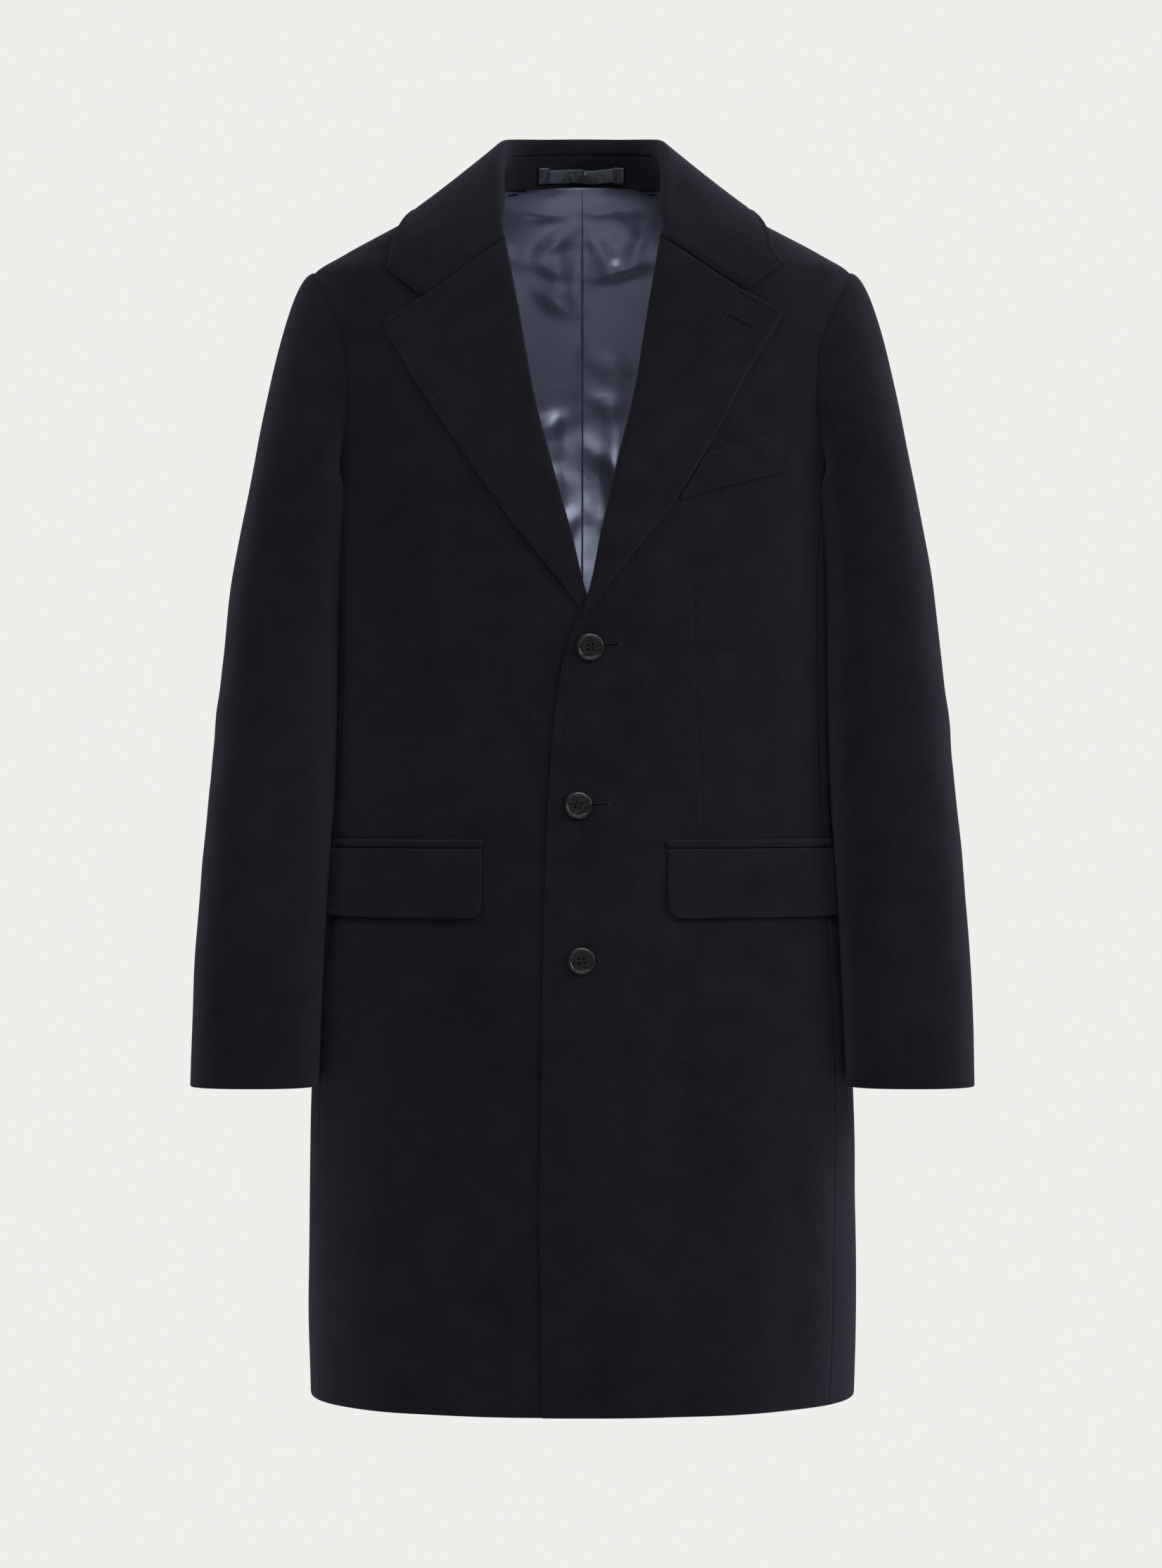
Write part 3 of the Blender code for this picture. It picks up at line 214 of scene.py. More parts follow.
def creased(points, folds):
    # height of the cloth over its plain form at each point; a fold is start, end, width and depth
    lift = np.zeros(points.shape[:-1])
    for start, end, width, depth in folds:
        reach = end - start
        t = np.clip((points - start) @ reach / (reach @ reach), 0, 1)
        gap = np.linalg.norm(points - start - t[..., None] * reach, axis=-1)
        lift += depth * np.sin(np.pi * t)**0.7 * np.exp(-(gap / width)**2)
    return lift


bodyFolds = [(trunkPoint(turn1, z1), trunkPoint(turn2, z2), width, depth)
             for turn1, z1, turn2, z2, width, depth in bodyCreases]


def rippled(points, size, height):
    # slow unevenness that hanging wool keeps
    x, y, z = (points[..., k] / size for k in range(3))
    return height * (np.sin(2.1 * x + 1.3 * z + 0.4) * np.sin(1.7 * z - 0.9 * y + 1.1)
                     + 0.6 * np.sin(3.9 * x - 2.2 * z + 2.0 * y) * np.sin(2.9 * z + 0.7))


def bodySwell(points):
    return creased(points, bodyFolds) + rippled(points, 0.075, 0.00035)


def wrapLift(x, z):
    # the left front stands over the right one, more and more towards its edge
    return coat["wrap"] * smoothStep((0.085 - x) / 0.045) * smoothStep((-0.250 - z) / 0.070)


def frontNormal(side, x, z):
    return trunkNormal(trunkPoint(signOf[side] * angleOf(x, z), z))


def onFront(side, x, z, lift):
    # point over a front; x counts from the middle towards that side
    x, z, lift = np.broadcast_arrays(*(np.asarray(v, float) for v in (x, z, lift)))
    base = trunkPoint(signOf[side] * angleOf(x, z), z)
    if side == "left":
        lift = lift + wrapLift(x, z)
    return base + times(trunkNormal(base), lift + bodySwell(base))


def armholeDepth(z):
    rise = (np.asarray(z, float) - armhole["midZ"]) / armhole["halfZ"]
    return armhole["halfY"] * np.sqrt(np.maximum(1 - rise * rise, 0)) * (1 - armhole["egg"] * rise)


def armholeAngle(z, isFront):
    ring = trunkRing(z)
    depth = ring[1] if isFront else ring[2]
    share = np.maximum(1 - (armholeDepth(z) / depth)**coat["ringPower"], 0.0)
    turn = np.degrees(np.arcsin(np.sqrt(share)))
    return turn if isFront else 180 - turn


def sideSeamAngle(seam, z):
    return blendTo(seam[0], seam[1], (z - coat["hemZ"]) / (-0.22 - coat["hemZ"]))


def armholeMeets(seam, isFront):
    low, high = armhole["midZ"] - armhole["halfZ"], armhole["midZ"]
    for _ in range(40):
        z = (low + high) / 2
        inside = float(armholeAngle(z, isFront)) - sideSeamAngle(seam, z)
        if (inside > 0) == isFront:
            low = z
        else:
            high = z
    return (low + high) / 2


def armholeLowZ(angles):
    # height of the armhole's bottom at each angle
    zs = np.linspace(armhole["midZ"] - armhole["halfZ"], armhole["midZ"] - 0.3 * armhole["halfZ"], 400)
    away = 90 - armholeAngle(zs, True), armholeAngle(zs, False) - 90
    return np.where(angles <= 90, np.interp(90 - angles, away[0], zs), np.interp(angles - 90, away[1], zs))


# edges of cloth: a seam sinks a little, a folded edge is round,
# double cloth swells beside its edge and dips at the row of stitches
edgeShape = {"seam": (0.00042, 0.0014), "swell": (0.00045, 0.0036, 0.0024), "dip": (0.00050, 0.0070, 0.0014)}


def seamDrop(distance):
    deep, wide = edgeShape["seam"]
    return deep * np.exp(-(distance / wide)**2)


def foldDrop(distance, thick, share=0.82, reach=1.1):
    r = thick * 0.5
    t = np.clip(distance / (r * reach), 0, 1)
    return share * r * (1 - np.sqrt(np.maximum(1 - (1 - t)**2, 0)))


def edgePuff(distance):
    swell, dip = (high * np.exp(-((distance - at) / wide)**2)
                  for high, at, wide in (edgeShape["swell"], edgeShape["dip"]))
    return swell - dip


def edgeDistances(grid):
    across = np.linalg.norm(np.diff(grid, axis=1), axis=-1)
    down = np.linalg.norm(np.diff(grid, axis=0), axis=-1)
    start = np.concatenate([np.zeros((grid.shape[0], 1)), np.cumsum(across, axis=1)], axis=1)
    low = np.concatenate([np.zeros((1, grid.shape[1])), np.cumsum(down, axis=0)], axis=0)
    return {"start": start, "end": start[:, -1:] - start, "low": low, "high": low[-1:] - low}


edgeSteps = (0.0005, 0.0012, 0.0024, 0.0045)    # rows and columns lie close together beside an edge


def nearEdge(count, width, close=edgeSteps):
    # shares across a piece, close together beside both edges
    near = [d / width for d in close]
    return np.array([0.0] + near + list(np.linspace(near[-1], 1 - near[-1], count)[1:-1])
                    + [1 - n for n in near[::-1]] + [1.0])


def rowHeights(stops):
    # heights from the hem up: stops are (height, step up to the next one)
    rows = [stops[0][0] + d for d in (0.0,) + edgeSteps]
    for (z, step), (nextZ, _) in zip(stops, stops[1:]):
        rows += list(np.linspace(z, nextZ, max(2, round((nextZ - z) / step) + 1))[1:])
    return np.array(sorted(r for i, r in enumerate(rows) if i < 5 or r > rows[4] + 0.001))


def gridNormals(grid):
    down, across = np.gradient(grid, axis=0), np.gradient(grid, axis=1)
    return unit(np.cross(down, across))


surfaces = {}    # the drawn faces of each piece, for the stitches and trims that follow them


def newPiece(name, verts, faces, paint):
    mesh = bpy.data.meshes.new(name)
    mesh.from_pydata(verts, [], faces)
    mesh.materials.append(paints[paint])
    mesh.shade_smooth()
    piece = bpy.data.objects.new(name, mesh)
    bpy.context.scene.collection.objects.link(piece)
    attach(piece, "root")
    return piece


def clothWall(name, outer, inner, paint, nodes):
    # closed wall between two grids of points, with maps of the distances from its edges
    rows, columns = outer.shape[:2]
    count = rows * columns
    index = np.arange(count).reshape(rows, columns)
    face = np.stack([index[:-1, :-1], index[:-1, 1:], index[1:, 1:], index[1:, :-1]], axis=-1).reshape(-1, 4)
    rim = np.concatenate([index[0], index[1:, -1], index[-1, -2::-1], index[-2:0:-1, 0]])
    onward = np.roll(rim, -1)
    sides = np.stack([onward, rim, rim + count, onward + count], axis=-1)
    faces = np.concatenate([face, face[:, ::-1] + count, sides])
    r, c = rows // 2, columns // 2
    turned = np.cross(outer[r, c + 1] - outer[r, c], outer[r + 1, c] - outer[r, c]) @ (outer[r, c] - inner[r, c])
    if turned < 0:
        faces = faces[:, ::-1]
    points = np.concatenate([outer.reshape(-1, 3), inner.reshape(-1, 3)])
    piece = newPiece(name, points.tolist(), faces.tolist(), paint)
    distances = edgeDistances(outer)
    corner = np.zeros(len(piece.data.loops), np.int32)
    piece.data.loops.foreach_get("vertex_index", corner)
    for mapName, u, v in (("fromStart", "start", "low"), ("fromEnd", "end", "high")):
        layer = piece.data.uv_layers.new(name=mapName)
        pairs = np.tile(np.stack([distances[u], distances[v]], axis=-1).reshape(-1, 2), (2, 1))
        layer.data.foreach_set("uv", pairs[corner].astype(np.float32).ravel())
    normals = gridNormals(outer)
    if np.mean(np.sum(normals * (outer - inner), axis=-1)) < 0:
        normals = -normals
    surfaces[name] = {"outer": outer, "normals": normals, **distances}
    if nodes:
        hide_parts(*nodes)


def shapedWall(name, base, normals, thick, finishes, paint, nodes):
    # wall over a base surface: finishes of the edges at its start, end, low and high side
    gaps = edgeDistances(base)
    drop, rise = np.zeros(base.shape[:2]), np.zeros(base.shape[:2])
    for edge, finish in zip(("start", "end", "low", "high"), finishes):
        kind, share = finish if isinstance(finish, tuple) else (finish, 1.0)
        if kind == "seam":
            drop += seamDrop(gaps[edge]) * share
        else:
            fold = foldDrop(gaps[edge], thick) * share
            drop, rise = np.maximum(drop, fold), np.maximum(rise, fold)
    clothWall(name, base + times(normals, -drop), base + times(normals, rise - thick), paint, nodes)


def shaderGroup(name, inputs, outputs):
    group = bpy.data.node_groups.new(name, "ShaderNodeTree")
    for label, value in inputs:
        kind = "NodeSocketVector" if label == "Vector" else "NodeSocketFloat"
        socket = group.interface.new_socket(name=label, in_out="INPUT", socket_type=kind)
        if value is not None:
            socket.default_value = value
    for label in outputs:
        group.interface.new_socket(name=label, in_out="OUTPUT", socket_type="NodeSocketFloat")
    return group, group.nodes.new("NodeGroupInput").outputs, group.nodes.new("NodeGroupOutput").inputs


def feed(tree, node, **links):
    # links are values or sockets for the node's inputs, by name or by number as i0, i1
    for key, value in links.items():
        numbered = key[0] == "i" and key[1:].isdigit()
        socket = node.inputs[int(key[1:])] if numbered else node.inputs[key.replace("_", " ")]
        if isinstance(value, bpy.types.NodeSocket):
            tree.links.new(value, socket)
        else:
            socket.default_value = value


def addNode(tree, kind, settings=None, **links):
    node = tree.nodes.new(kind)
    for key, value in (settings or {}).items():
        setattr(node, key, value)
    feed(tree, node, **links)
    return node


def sumNode(tree, operation, a, b=0.0):
    return addNode(tree, "ShaderNodeMath", {"operation": operation}, i0=a, i1=b).outputs[0]


def product(tree, a, b):
    return sumNode(tree, "MULTIPLY", a, b)


def weighted(tree, first, *others):
    # sum of sockets, each times its weight
    total = product(tree, *first)
    for pair in others:
        total = sumNode(tree, "ADD", total, product(tree, *pair))
    return total


def rangeNode(tree, value, low, high, toLow=0.0, toHigh=1.0, smooth=True):
    kind = "SMOOTHSTEP" if smooth else "LINEAR"
    return addNode(tree, "ShaderNodeMapRange", {"interpolation_type": kind}, Value=value, From_Min=low, From_Max=high,
                   To_Min=toLow, To_Max=toHigh).outputs["Result"]


def noiseNode(tree, place, scale, detail=2.0, **more):
    return addNode(tree, "ShaderNodeTexNoise", i0=place, Scale=scale, Detail=detail, **more).outputs


def mappedNode(tree, place, **more):
    return addNode(tree, "ShaderNodeMapping", i0=place, **more).outputs[0]


def bumpNode(tree, strength, distance, height, settings=None):
    return addNode(tree, "ShaderNodeBump", settings, Strength=strength, Distance=distance, Height=height)


def mixedColour(tree, share, *ends):
    # each end is a colour, or the socket of one
    first, second = (end if isinstance(end, bpy.types.NodeSocket) else (*end, 1) for end in ends)
    return addNode(tree, "ShaderNodeMix", {"data_type": "RGBA"}, i0=share, i6=first, i7=second).outputs[2]


def buildNapGroup():
    # brushed wool: fuzz that lies downwards, soft mottling and stray pale fibres
    group, given, result = shaderGroup("brushedNap", [("Vector", None), ("Fuzz Scale", 1400.0), ("Fibre Scale", 420.0),
                                                      ("Fibre Share", 0.030)], ["Tone", "Fibre", "Height"])
    place = given["Vector"]
    laid = mappedNode(group, place, i3=(1.0, 1.0, 0.75))
    fuzz = noiseNode(group, laid, given["Fuzz Scale"], 5.0, Roughness=0.72, Distortion=0.5)["Fac"]
    tuft = noiseNode(group, laid, 620.0, 4.0, Roughness=0.65, Distortion=0.6)["Fac"]
    cloud = noiseNode(group, place, 38.0, 3.0, Roughness=0.55)["Fac"]
    drift = noiseNode(group, place, 7.0)["Fac"]
    tone = weighted(group, (fuzz, 0.55), (tuft, 0.45), (cloud, 0.35), (drift, 0.30))
    group.links.new(rangeNode(group, tone, 0.62, 1.00, smooth=False), result["Tone"])
    bend = noiseNode(group, place, 120.0)["Color"]
    bent = addNode(group, "ShaderNodeVectorMath", {"operation": "MULTIPLY_ADD"}, i0=bend, i1=(0.006, 0.006, 0.006),
                   i2=place).outputs[0]
    strand = mappedNode(group, bent, i2=(0.3, 0.5, 0.6), i3=(3.4, 3.4, 0.7))
    cells = addNode(group, "ShaderNodeTexVoronoi", i0=strand, Scale=given["Fibre Scale"], Randomness=1.0).outputs
    chosen = addNode(group, "ShaderNodeSeparateColor", i0=cells["Color"]).outputs[0]
    rare = sumNode(group, "LESS_THAN", chosen, given["Fibre Share"])
    fibre = product(group, rare, rangeNode(group, cells["Distance"], 0.26, 0.10))
    group.links.new(fibre, result["Fibre"])
    group.links.new(weighted(group, (fuzz, 0.6), (tuft, 0.5), (fibre, 0.4)), result["Height"])
    return group


def buildStitchGroup():
    # a line of hand stitches that pull small dents into the cloth beside an edge
    group, given, result = shaderGroup("pickedEdge", [("Run", None), ("Distance", None), ("Spacing", 0.006),
                                                      ("Inset", 0.007), ("Length", 0.0022)], ["Dent", "Swell"])
    step = sumNode(group, "DIVIDE", given["Run"], given["Spacing"])
    beside = sumNode(group, "SUBTRACT", sumNode(group, "FRACT", step), 0.5)
    beside = sumNode(group, "DIVIDE", product(group, beside, given["Spacing"]), given["Length"])
    off = sumNode(group, "SUBTRACT", given["Distance"], given["Inset"])
    narrow, wide = (sumNode(group, "DIVIDE", off, width) for width in (0.0011, 0.0030))
    group.links.new(rangeNode(group, weighted(group, (beside, beside), (narrow, narrow)), 0.9, 0.0), result["Dent"])
    group.links.new(rangeNode(group, product(group, wide, wide), 1.0, 0.0), result["Swell"])
    return group


napGroup, stitchGroup = buildNapGroup(), buildStitchGroup()


def newPaint(name):
    paint = bpy.data.materials.new(name)
    paint.use_nodes = True
    tree = paint.node_tree
    tree.nodes.clear()
    shader = tree.nodes.new("ShaderNodeBsdfPrincipled")
    tree.links.new(shader.outputs[0], tree.nodes.new("ShaderNodeOutputMaterial").inputs[0])
    return paint, tree, shader, addNode(tree, "ShaderNodeTexCoord").outputs["Object"]


# pick is painted shade: the darker colour put into the stitch dents
woolLook = {"dark": (0.0013, 0.0013, 0.0028), "light": (0.0096, 0.0094, 0.0154), "fibre": (0.051, 0.049, 0.068),
            "fibreShare": 0.8, "pick": (0.0022, 0.0022, 0.0034), "dentShadeShare": 0.75, "groove": 0.35,
            "roughness": 0.94, "gloss": 0.12, "sheen": 0.11, "sheenRoughness": 0.50, "sheenTint": (0.57, 0.56, 0.82),
            "bump": 0.75, "bumpDistance": 0.0009, "pull": 0.9, "pullDistance": 0.0011}


def woolPaint(name, *stitches):
    # stitches: (map, along axis, away axis, spacing, inset, from run, to run)
    look = woolLook
    paint, tree, shader, place = newPaint(name)
    nap = addNode(tree, "ShaderNodeGroup", {"node_tree": napGroup}, Vector=place).outputs
    colour, picks = mixedColour(tree, nap["Tone"], look["dark"], look["light"]), 0.0
    for mapName, run, away, spacing, inset, begin, stop in stitches:
        uv = addNode(tree, "ShaderNodeUVMap", {"uv_map": mapName}).outputs[0]
        parts = addNode(tree, "ShaderNodeSeparateXYZ", i0=uv).outputs
        picked = addNode(tree, "ShaderNodeGroup", {"node_tree": stitchGroup}, Run=parts[run], Distance=parts[away],
                         Spacing=spacing, Inset=inset).outputs
        within = product(tree, sumNode(tree, "GREATER_THAN", parts[run], begin),
                         sumNode(tree, "LESS_THAN", parts[run], stop))
        dent = product(tree, picked["Dent"], within)
        groove = product(tree, product(tree, picked["Swell"], within), look["groove"])
        picks = sumNode(tree, "ADD", picks, sumNode(tree, "MAXIMUM", dent, groove))
        # painted shade: the stitch dents are darkened towards the pick colour
        colour = mixedColour(tree, product(tree, dent, look["dentShadeShare"]), colour, look["pick"])
    colour = mixedColour(tree, product(tree, nap["Fibre"], look["fibreShare"]), colour, look["fibre"])
    bump = bumpNode(tree, look["bump"], look["bumpDistance"], nap["Height"])
    if stitches:
        pulled = bumpNode(tree, look["pull"], look["pullDistance"], picks, {"invert": True})
        feed(tree, bump, Normal=pulled.outputs[0])
    feed(tree, shader, Base_Color=colour, Roughness=look["roughness"], Specular_IOR_Level=look["gloss"],
         Sheen_Weight=look["sheen"], Sheen_Roughness=look["sheenRoughness"], Sheen_Tint=(*look["sheenTint"], 1),
         Normal=bump.outputs[0])
    return paint


satinLook = {"dark": (0.105, 0.120, 0.190), "light": (0.260, 0.290, 0.430), "roughness": 0.29, "gloss": 0.60,
             "metal": 0.50, "twill": 0.0011, "bump": 0.30, "bumpDistance": 0.00012}


def satinPaint(name, **changes):
    # smooth twill: fine diagonal ridges
    look = {**satinLook, **changes}
    paint, tree, shader, place = newPaint(name)
    parts = addNode(tree, "ShaderNodeSeparateXYZ", i0=place).outputs
    slant = weighted(tree, (parts[0], 0.62), (parts[2], 0.78))
    ridge = sumNode(tree, "SINE", product(tree, slant, 2 * math.pi / look["twill"]))
    thread = sumNode(tree, "SINE", product(tree, parts[0], 2 * math.pi / (look["twill"] * 0.62)))
    weave = sumNode(tree, "ADD", weighted(tree, (ridge, 0.36), (thread, 0.14)), 0.5)
    cloud = noiseNode(tree, place, 24.0, 3.0)["Fac"]
    colour = mixedColour(tree, weighted(tree, (weave, 0.62), (cloud, 0.38)), look["dark"], look["light"])
    rough = rangeNode(tree, cloud, 0.3, 0.7, look["roughness"] - 0.05, look["roughness"] + 0.08)
    bump = bumpNode(tree, look["bump"], look["bumpDistance"], weave).outputs[0]
    feed(tree, shader, Base_Color=colour, Roughness=rough, Specular_IOR_Level=look["gloss"], Metallic=look["metal"],
         Normal=bump)
    return paint


def threadPaint(name, colour, roughness=0.62, gloss=0.25):
    # twisted thread: slanting plies, with painted shade between them as a darker copy of the thread's colour
    paint, tree, shader, place = newPaint(name)
    ply = addNode(tree, "ShaderNodeTexWave", {"wave_type": "BANDS"}, i0=mappedNode(tree, place, i2=(0.5, 0.3, 0.7)),
                  Scale=900.0, Distortion=1.2, Detail=1.0).outputs["Fac"]
    # painted shade: the grooves between the plies get the thread's colour darkened
    dark = tuple(c * 0.45 for c in colour)
    feed(tree, shader, Base_Color=mixedColour(tree, ply, dark, colour), Roughness=roughness, Specular_IOR_Level=gloss,
         Normal=bumpNode(tree, 0.4, 0.0001, ply).outputs[0])
    return paint


def hornPaint(name):
    # polished black button: faint cloudy streaks, fine turning marks, scuffed a little
    paint, tree, shader, place = newPaint(name)
    cloud = noiseNode(tree, mappedNode(tree, place, i3=(60.0, 60.0, 320.0)), 3.0, 5.0, Distortion=1.4)["Fac"]
    colour = mixedColour(tree, rangeNode(tree, cloud, 0.35, 0.75), (0.0030, 0.0030, 0.0036), (0.022, 0.021, 0.023))
    scuff = noiseNode(tree, place, 2600.0, 3.0)["Fac"]
    feed(tree, shader, Base_Color=colour, Roughness=rangeNode(tree, scuff, 0.35, 0.8, 0.05, 0.16),
         Specular_IOR_Level=0.42, Normal=bumpNode(tree, 0.06, 0.0001, scuff).outputs[0])
    return paint


paints = {
    "front": woolPaint("woolFront", ("fromStart", 1, 0, 0.0062, 0.0074, 0.006, 0.625),
                       ("fromStart", 0, 1, 0.0068, 0.0052, 0.004, 0.30)),
    "plain": woolPaint("woolPlain"),
    "lapel": woolPaint("woolLapel", ("fromEnd", 1, 0, 0.0060, 0.0068, 0.004, 0.40),
                       ("fromEnd", 0, 1, 0.0060, 0.0068, 0.006, 0.040)),
    "collar": woolPaint("woolCollar", ("fromStart", 1, 0, 0.0060, 0.0068, 0.004, 0.75)),
    "flap": woolPaint("woolFlap", ("fromEnd", 0, 1, 0.0049, 0.0074, 0.006, 0.20)),
    "welt": woolPaint("woolWelt", ("fromStart", 0, 1, 0.0052, 0.0060, 0.003, 0.20)),
    "lining": satinPaint("steelBlueSatin"),
    "ribbon": satinPaint("navyRibbon", dark=(0.022, 0.025, 0.038), light=(0.075, 0.084, 0.115), twill=0.0012, bump=0.5),
    "thread": threadPaint("navyThread", (0.0055, 0.0055, 0.0095)),
    "holeThread": threadPaint("buttonholeThread", (0.012, 0.012, 0.020), 0.6),
    # painted shade for the inside of the buttonholes
    "holeShadow": threadPaint("slitShade", (0.0004, 0.0004, 0.0007), 1.0, 0.0),
    "horn": hornPaint("blackHorn"),
}
print("paints ready:", len(paints))


dart = {"left": {"top": (0.0855, -0.3126), "foot": (0.0942, -0.5284)},
        "right": {"top": (0.0984, -0.2958), "foot": (0.1027, -0.5284)},
        "share": 0.44, "deep": 0.0006, "wide": 0.0016}
yokeStops = [(-0.10, 0.004), (-0.080, 0.0022), (coat["shoulderZ"], 0.002), (-0.0008, 0.003)]    # rows at the shoulder


def drawFront(side):
    seam, sign = frontSeam[side], signOf[side]
    meet = armholeMeets(seam, True)
    stops = [(coat["hemZ"], 0.006), (-0.535, 0.006), (coat["breakZ"], 0.005), (meet, 0.005)]
    z = rowHeights(stops + yokeStops)[:, None]
    start = np.where(z >= neckLine[-1][1], angleOf(lineX(neckLine, z), z),
                     np.where(z >= coat["breakZ"], angleOf(lineX(rollLine[side], z) + coat["restGap"], z),
                              angleOf(lineX(frontEdge[side], z), z)))
    end = np.where(z < meet, sideSeamAngle(seam, z), np.where(z < coat["shoulderZ"], armholeAngle(z, True), 90.0))
    (topX, topZ), (footX, footZ) = dart[side]["top"], dart[side]["foot"]
    dartX = blendTo(topX, footX, (z - topZ) / (footZ - topZ))
    plain = blendTo(start, end, dart["share"])
    middle = blendTo(angleOf(np.clip(dartX, 0.07, 0.12), z), plain, smoothStep((z + 0.285) / 0.10))
    # columns lie close together beside the edges and the dart
    byDart, byEdge = [0.0055, 0.012, 0.022, 0.036], [0.004, 0.010, 0.020, 0.037]
    inner = np.array([0] + byEdge + list(np.linspace(byEdge[-1], 1 - byDart[-1], 22)[1:])
                     + [1 - n for n in byDart[-2::-1]])
    outer = np.array([0] + byDart + list(np.linspace(byDart[-1], 1 - byEdge[-1], 24)[1:-1])
                     + [1 - n for n in byEdge[::-1]] + [1])
    angles = np.concatenate([blendTo(start, middle, inner[None, :]), blendTo(middle, end, outer[None, :])], axis=1)
    base = trunkPoint(sign * angles, z)
    normals = trunkNormal(base)
    lift = bodySwell(base)
    if side == "left":
        lift = lift + wrapLift(base[..., 0], base[..., 2])
    base = base + times(normals, lift)
    # the dart is a seam that fades out at its top
    away = np.linalg.norm(base - base[:, len(inner)][:, None], axis=-1)
    live = smoothStep((topZ - z) / 0.03) * smoothStep((z - footZ + 0.004) / 0.004)
    groove = dart["deep"] * np.exp(-(away / dart["wide"])**2)
    base = base - times(normals, groove * live)
    below = np.where(z < coat["breakZ"], 1.0, 0.35) * np.ones_like(away)
    shapedWall("woolFront." + side, base, normals, coat["wool"], (("fold", below), "seam", "fold", "seam"),
               "front", ["front_" + side])
    surfaces["woolFront." + side]["dart"] = len(inner)


def drawSide(side):
    seamFront, seamBack, long = frontSeam[side], backSeam, 0.74
    part = nearEdge(16, 0.15)[None, :]
    topStart = sideSeamAngle(seamFront, armholeMeets(seamFront, True))
    topEnd = sideSeamAngle(seamBack, armholeMeets(seamBack, False))
    top = armholeLowZ(blendTo(topStart, topEnd, part))
    up = np.array(list(np.array((0.0,) + edgeSteps) / long) + list(np.linspace(edgeSteps[-1] / long, 1.0, 126)[1:]))
    z = blendTo(coat["hemZ"], top, up[:, None])
    base = trunkPoint(signOf[side] * blendTo(sideSeamAngle(seamFront, z), sideSeamAngle(seamBack, z), part), z)
    normals = trunkNormal(base)
    base = base + times(normals, bodySwell(base))
    shapedWall("woolSide." + side, base, normals, coat["wool"], ("seam", "seam", "fold", "seam"),
               "plain", ["side_" + side])


def backGrid(side, low, inset, count):
    # rows and limits that the wool back and its lining share
    meet = armholeMeets(backSeam, False)
    z = rowHeights([(low, 0.006), (-0.40, 0.006), (meet, 0.006), *yokeStops, (0.009, 0.0012)])[:, None]
    neck = 180 - angleOf(coat["neckHalf"] * np.sqrt(np.clip(1 - z / coat["napeZ"], 0, 1)), z)
    start = np.where(z < meet, sideSeamAngle(backSeam, z) + 0.5 * inset,
                     np.where(z < coat["shoulderZ"], armholeAngle(z, False) + inset,
                              np.where(z < 0, 90.0 + inset + 1.8 * inset * smoothStep((z - coat["shoulderZ"]) / 0.03),
                                       neck + 1.25 * inset)))
    base = trunkPoint(signOf[side] * blendTo(start, 180.0, nearEdge(count, 0.22)[None, :]), z)
    return base, trunkNormal(base)


def drawBack(side):
    base, normals = backGrid(side, coat["hemZ"], 0.0, 44)
    base = base + times(normals, bodySwell(base))
    shapedWall("woolBack." + side, base, normals, coat["wool"], ("seam", "seam", "fold", "seam"),
               "plain", ["back_" + side])


for side in signOf:
    drawFront(side)
    drawSide(side)
    drawBack(side)
print("trunk drawn")


# the lining hangs in soft folds and puckers along its middle seam
liningFolds = [   # x, z, x, z over the back's inside, width, depth
    (0.006, -0.012, 0.062, -0.008, 0.0050, 0.0020), (-0.062, -0.010, -0.006, -0.014, 0.0050, 0.0022),
    (0.026, -0.016, 0.050, -0.034, 0.0055, -0.0024), (0.052, -0.014, 0.040, -0.060, 0.0060, 0.0026),
    (0.008, -0.030, 0.030, -0.066, 0.0060, 0.0026), (-0.010, -0.026, -0.046, -0.050, 0.0070, 0.0026),
    (-0.050, -0.020, -0.040, -0.066, 0.0070, -0.0026), (-0.020, -0.034, -0.018, -0.090, 0.0070, 0.0024),
    (0.004, -0.064, 0.070, -0.046, 0.0085, 0.0034), (-0.066, -0.044, -0.006, -0.062, 0.0080, 0.0030),
    (0.004, -0.078, 0.052, -0.104, 0.0075, -0.0028), (-0.004, -0.094, -0.046, -0.070, 0.0080, 0.0030),
    (0.005, -0.128, 0.056, -0.150, 0.0085, 0.0030), (-0.004, -0.118, -0.042, -0.146, 0.0070, -0.0024),
    (0.004, -0.160, 0.034, -0.176, 0.0060, 0.0026), (-0.004, -0.174, -0.050, -0.196, 0.0080, 0.0032),
    (0.005, -0.204, 0.042, -0.234, 0.0078, 0.0034), (-0.005, -0.224, -0.036, -0.212, 0.0065, -0.0024),
    (0.004, -0.252, 0.028, -0.282, 0.0068, 0.0028), (-0.004, -0.260, -0.030, -0.290, 0.0070, 0.0030),
    (0.004, -0.302, 0.024, -0.296, 0.0055, -0.0020), (-0.004, -0.320, -0.020, -0.300, 0.0060, 0.0024),
    (0.046, -0.076, 0.058, -0.220, 0.0130, -0.0036), (-0.044, -0.086, -0.052, -0.200, 0.0130, -0.0034),
    (0.026, -0.160, 0.034, -0.340, 0.0105, 0.0034), (-0.024, -0.190, -0.028, -0.350, 0.0100, 0.0030),
    (0.016, -0.210, 0.014, -0.330, 0.0060, -0.0020), (-0.014, -0.120, -0.013, -0.230, 0.0060, -0.0022),
    (0.060, -0.380, 0.052, -0.700, 0.0200, 0.0030), (-0.070, -0.400, -0.060, -0.760, 0.0220, 0.0032),
    (0.110, -0.300, 0.120, -0.620, 0.0240, -0.0024), (-0.120, -0.280, -0.112, -0.580, 0.0220, -0.0026),
    (0.030, -0.560, 0.034, -0.940, 0.0180, -0.0022), (-0.028, -0.600, -0.036, -0.940, 0.0170, 0.0026),
]


liningCut = {"aboveHem": 0.022, "inset": 1.6, "foldLeast": 0.0010, "foldSoft": 0.0012, "off": 0.0004, "edgeUp": 0.0008,
             "puckerWide": 0.010, "puckerStep": 0.0135, "puckerHigh": 0.00035}


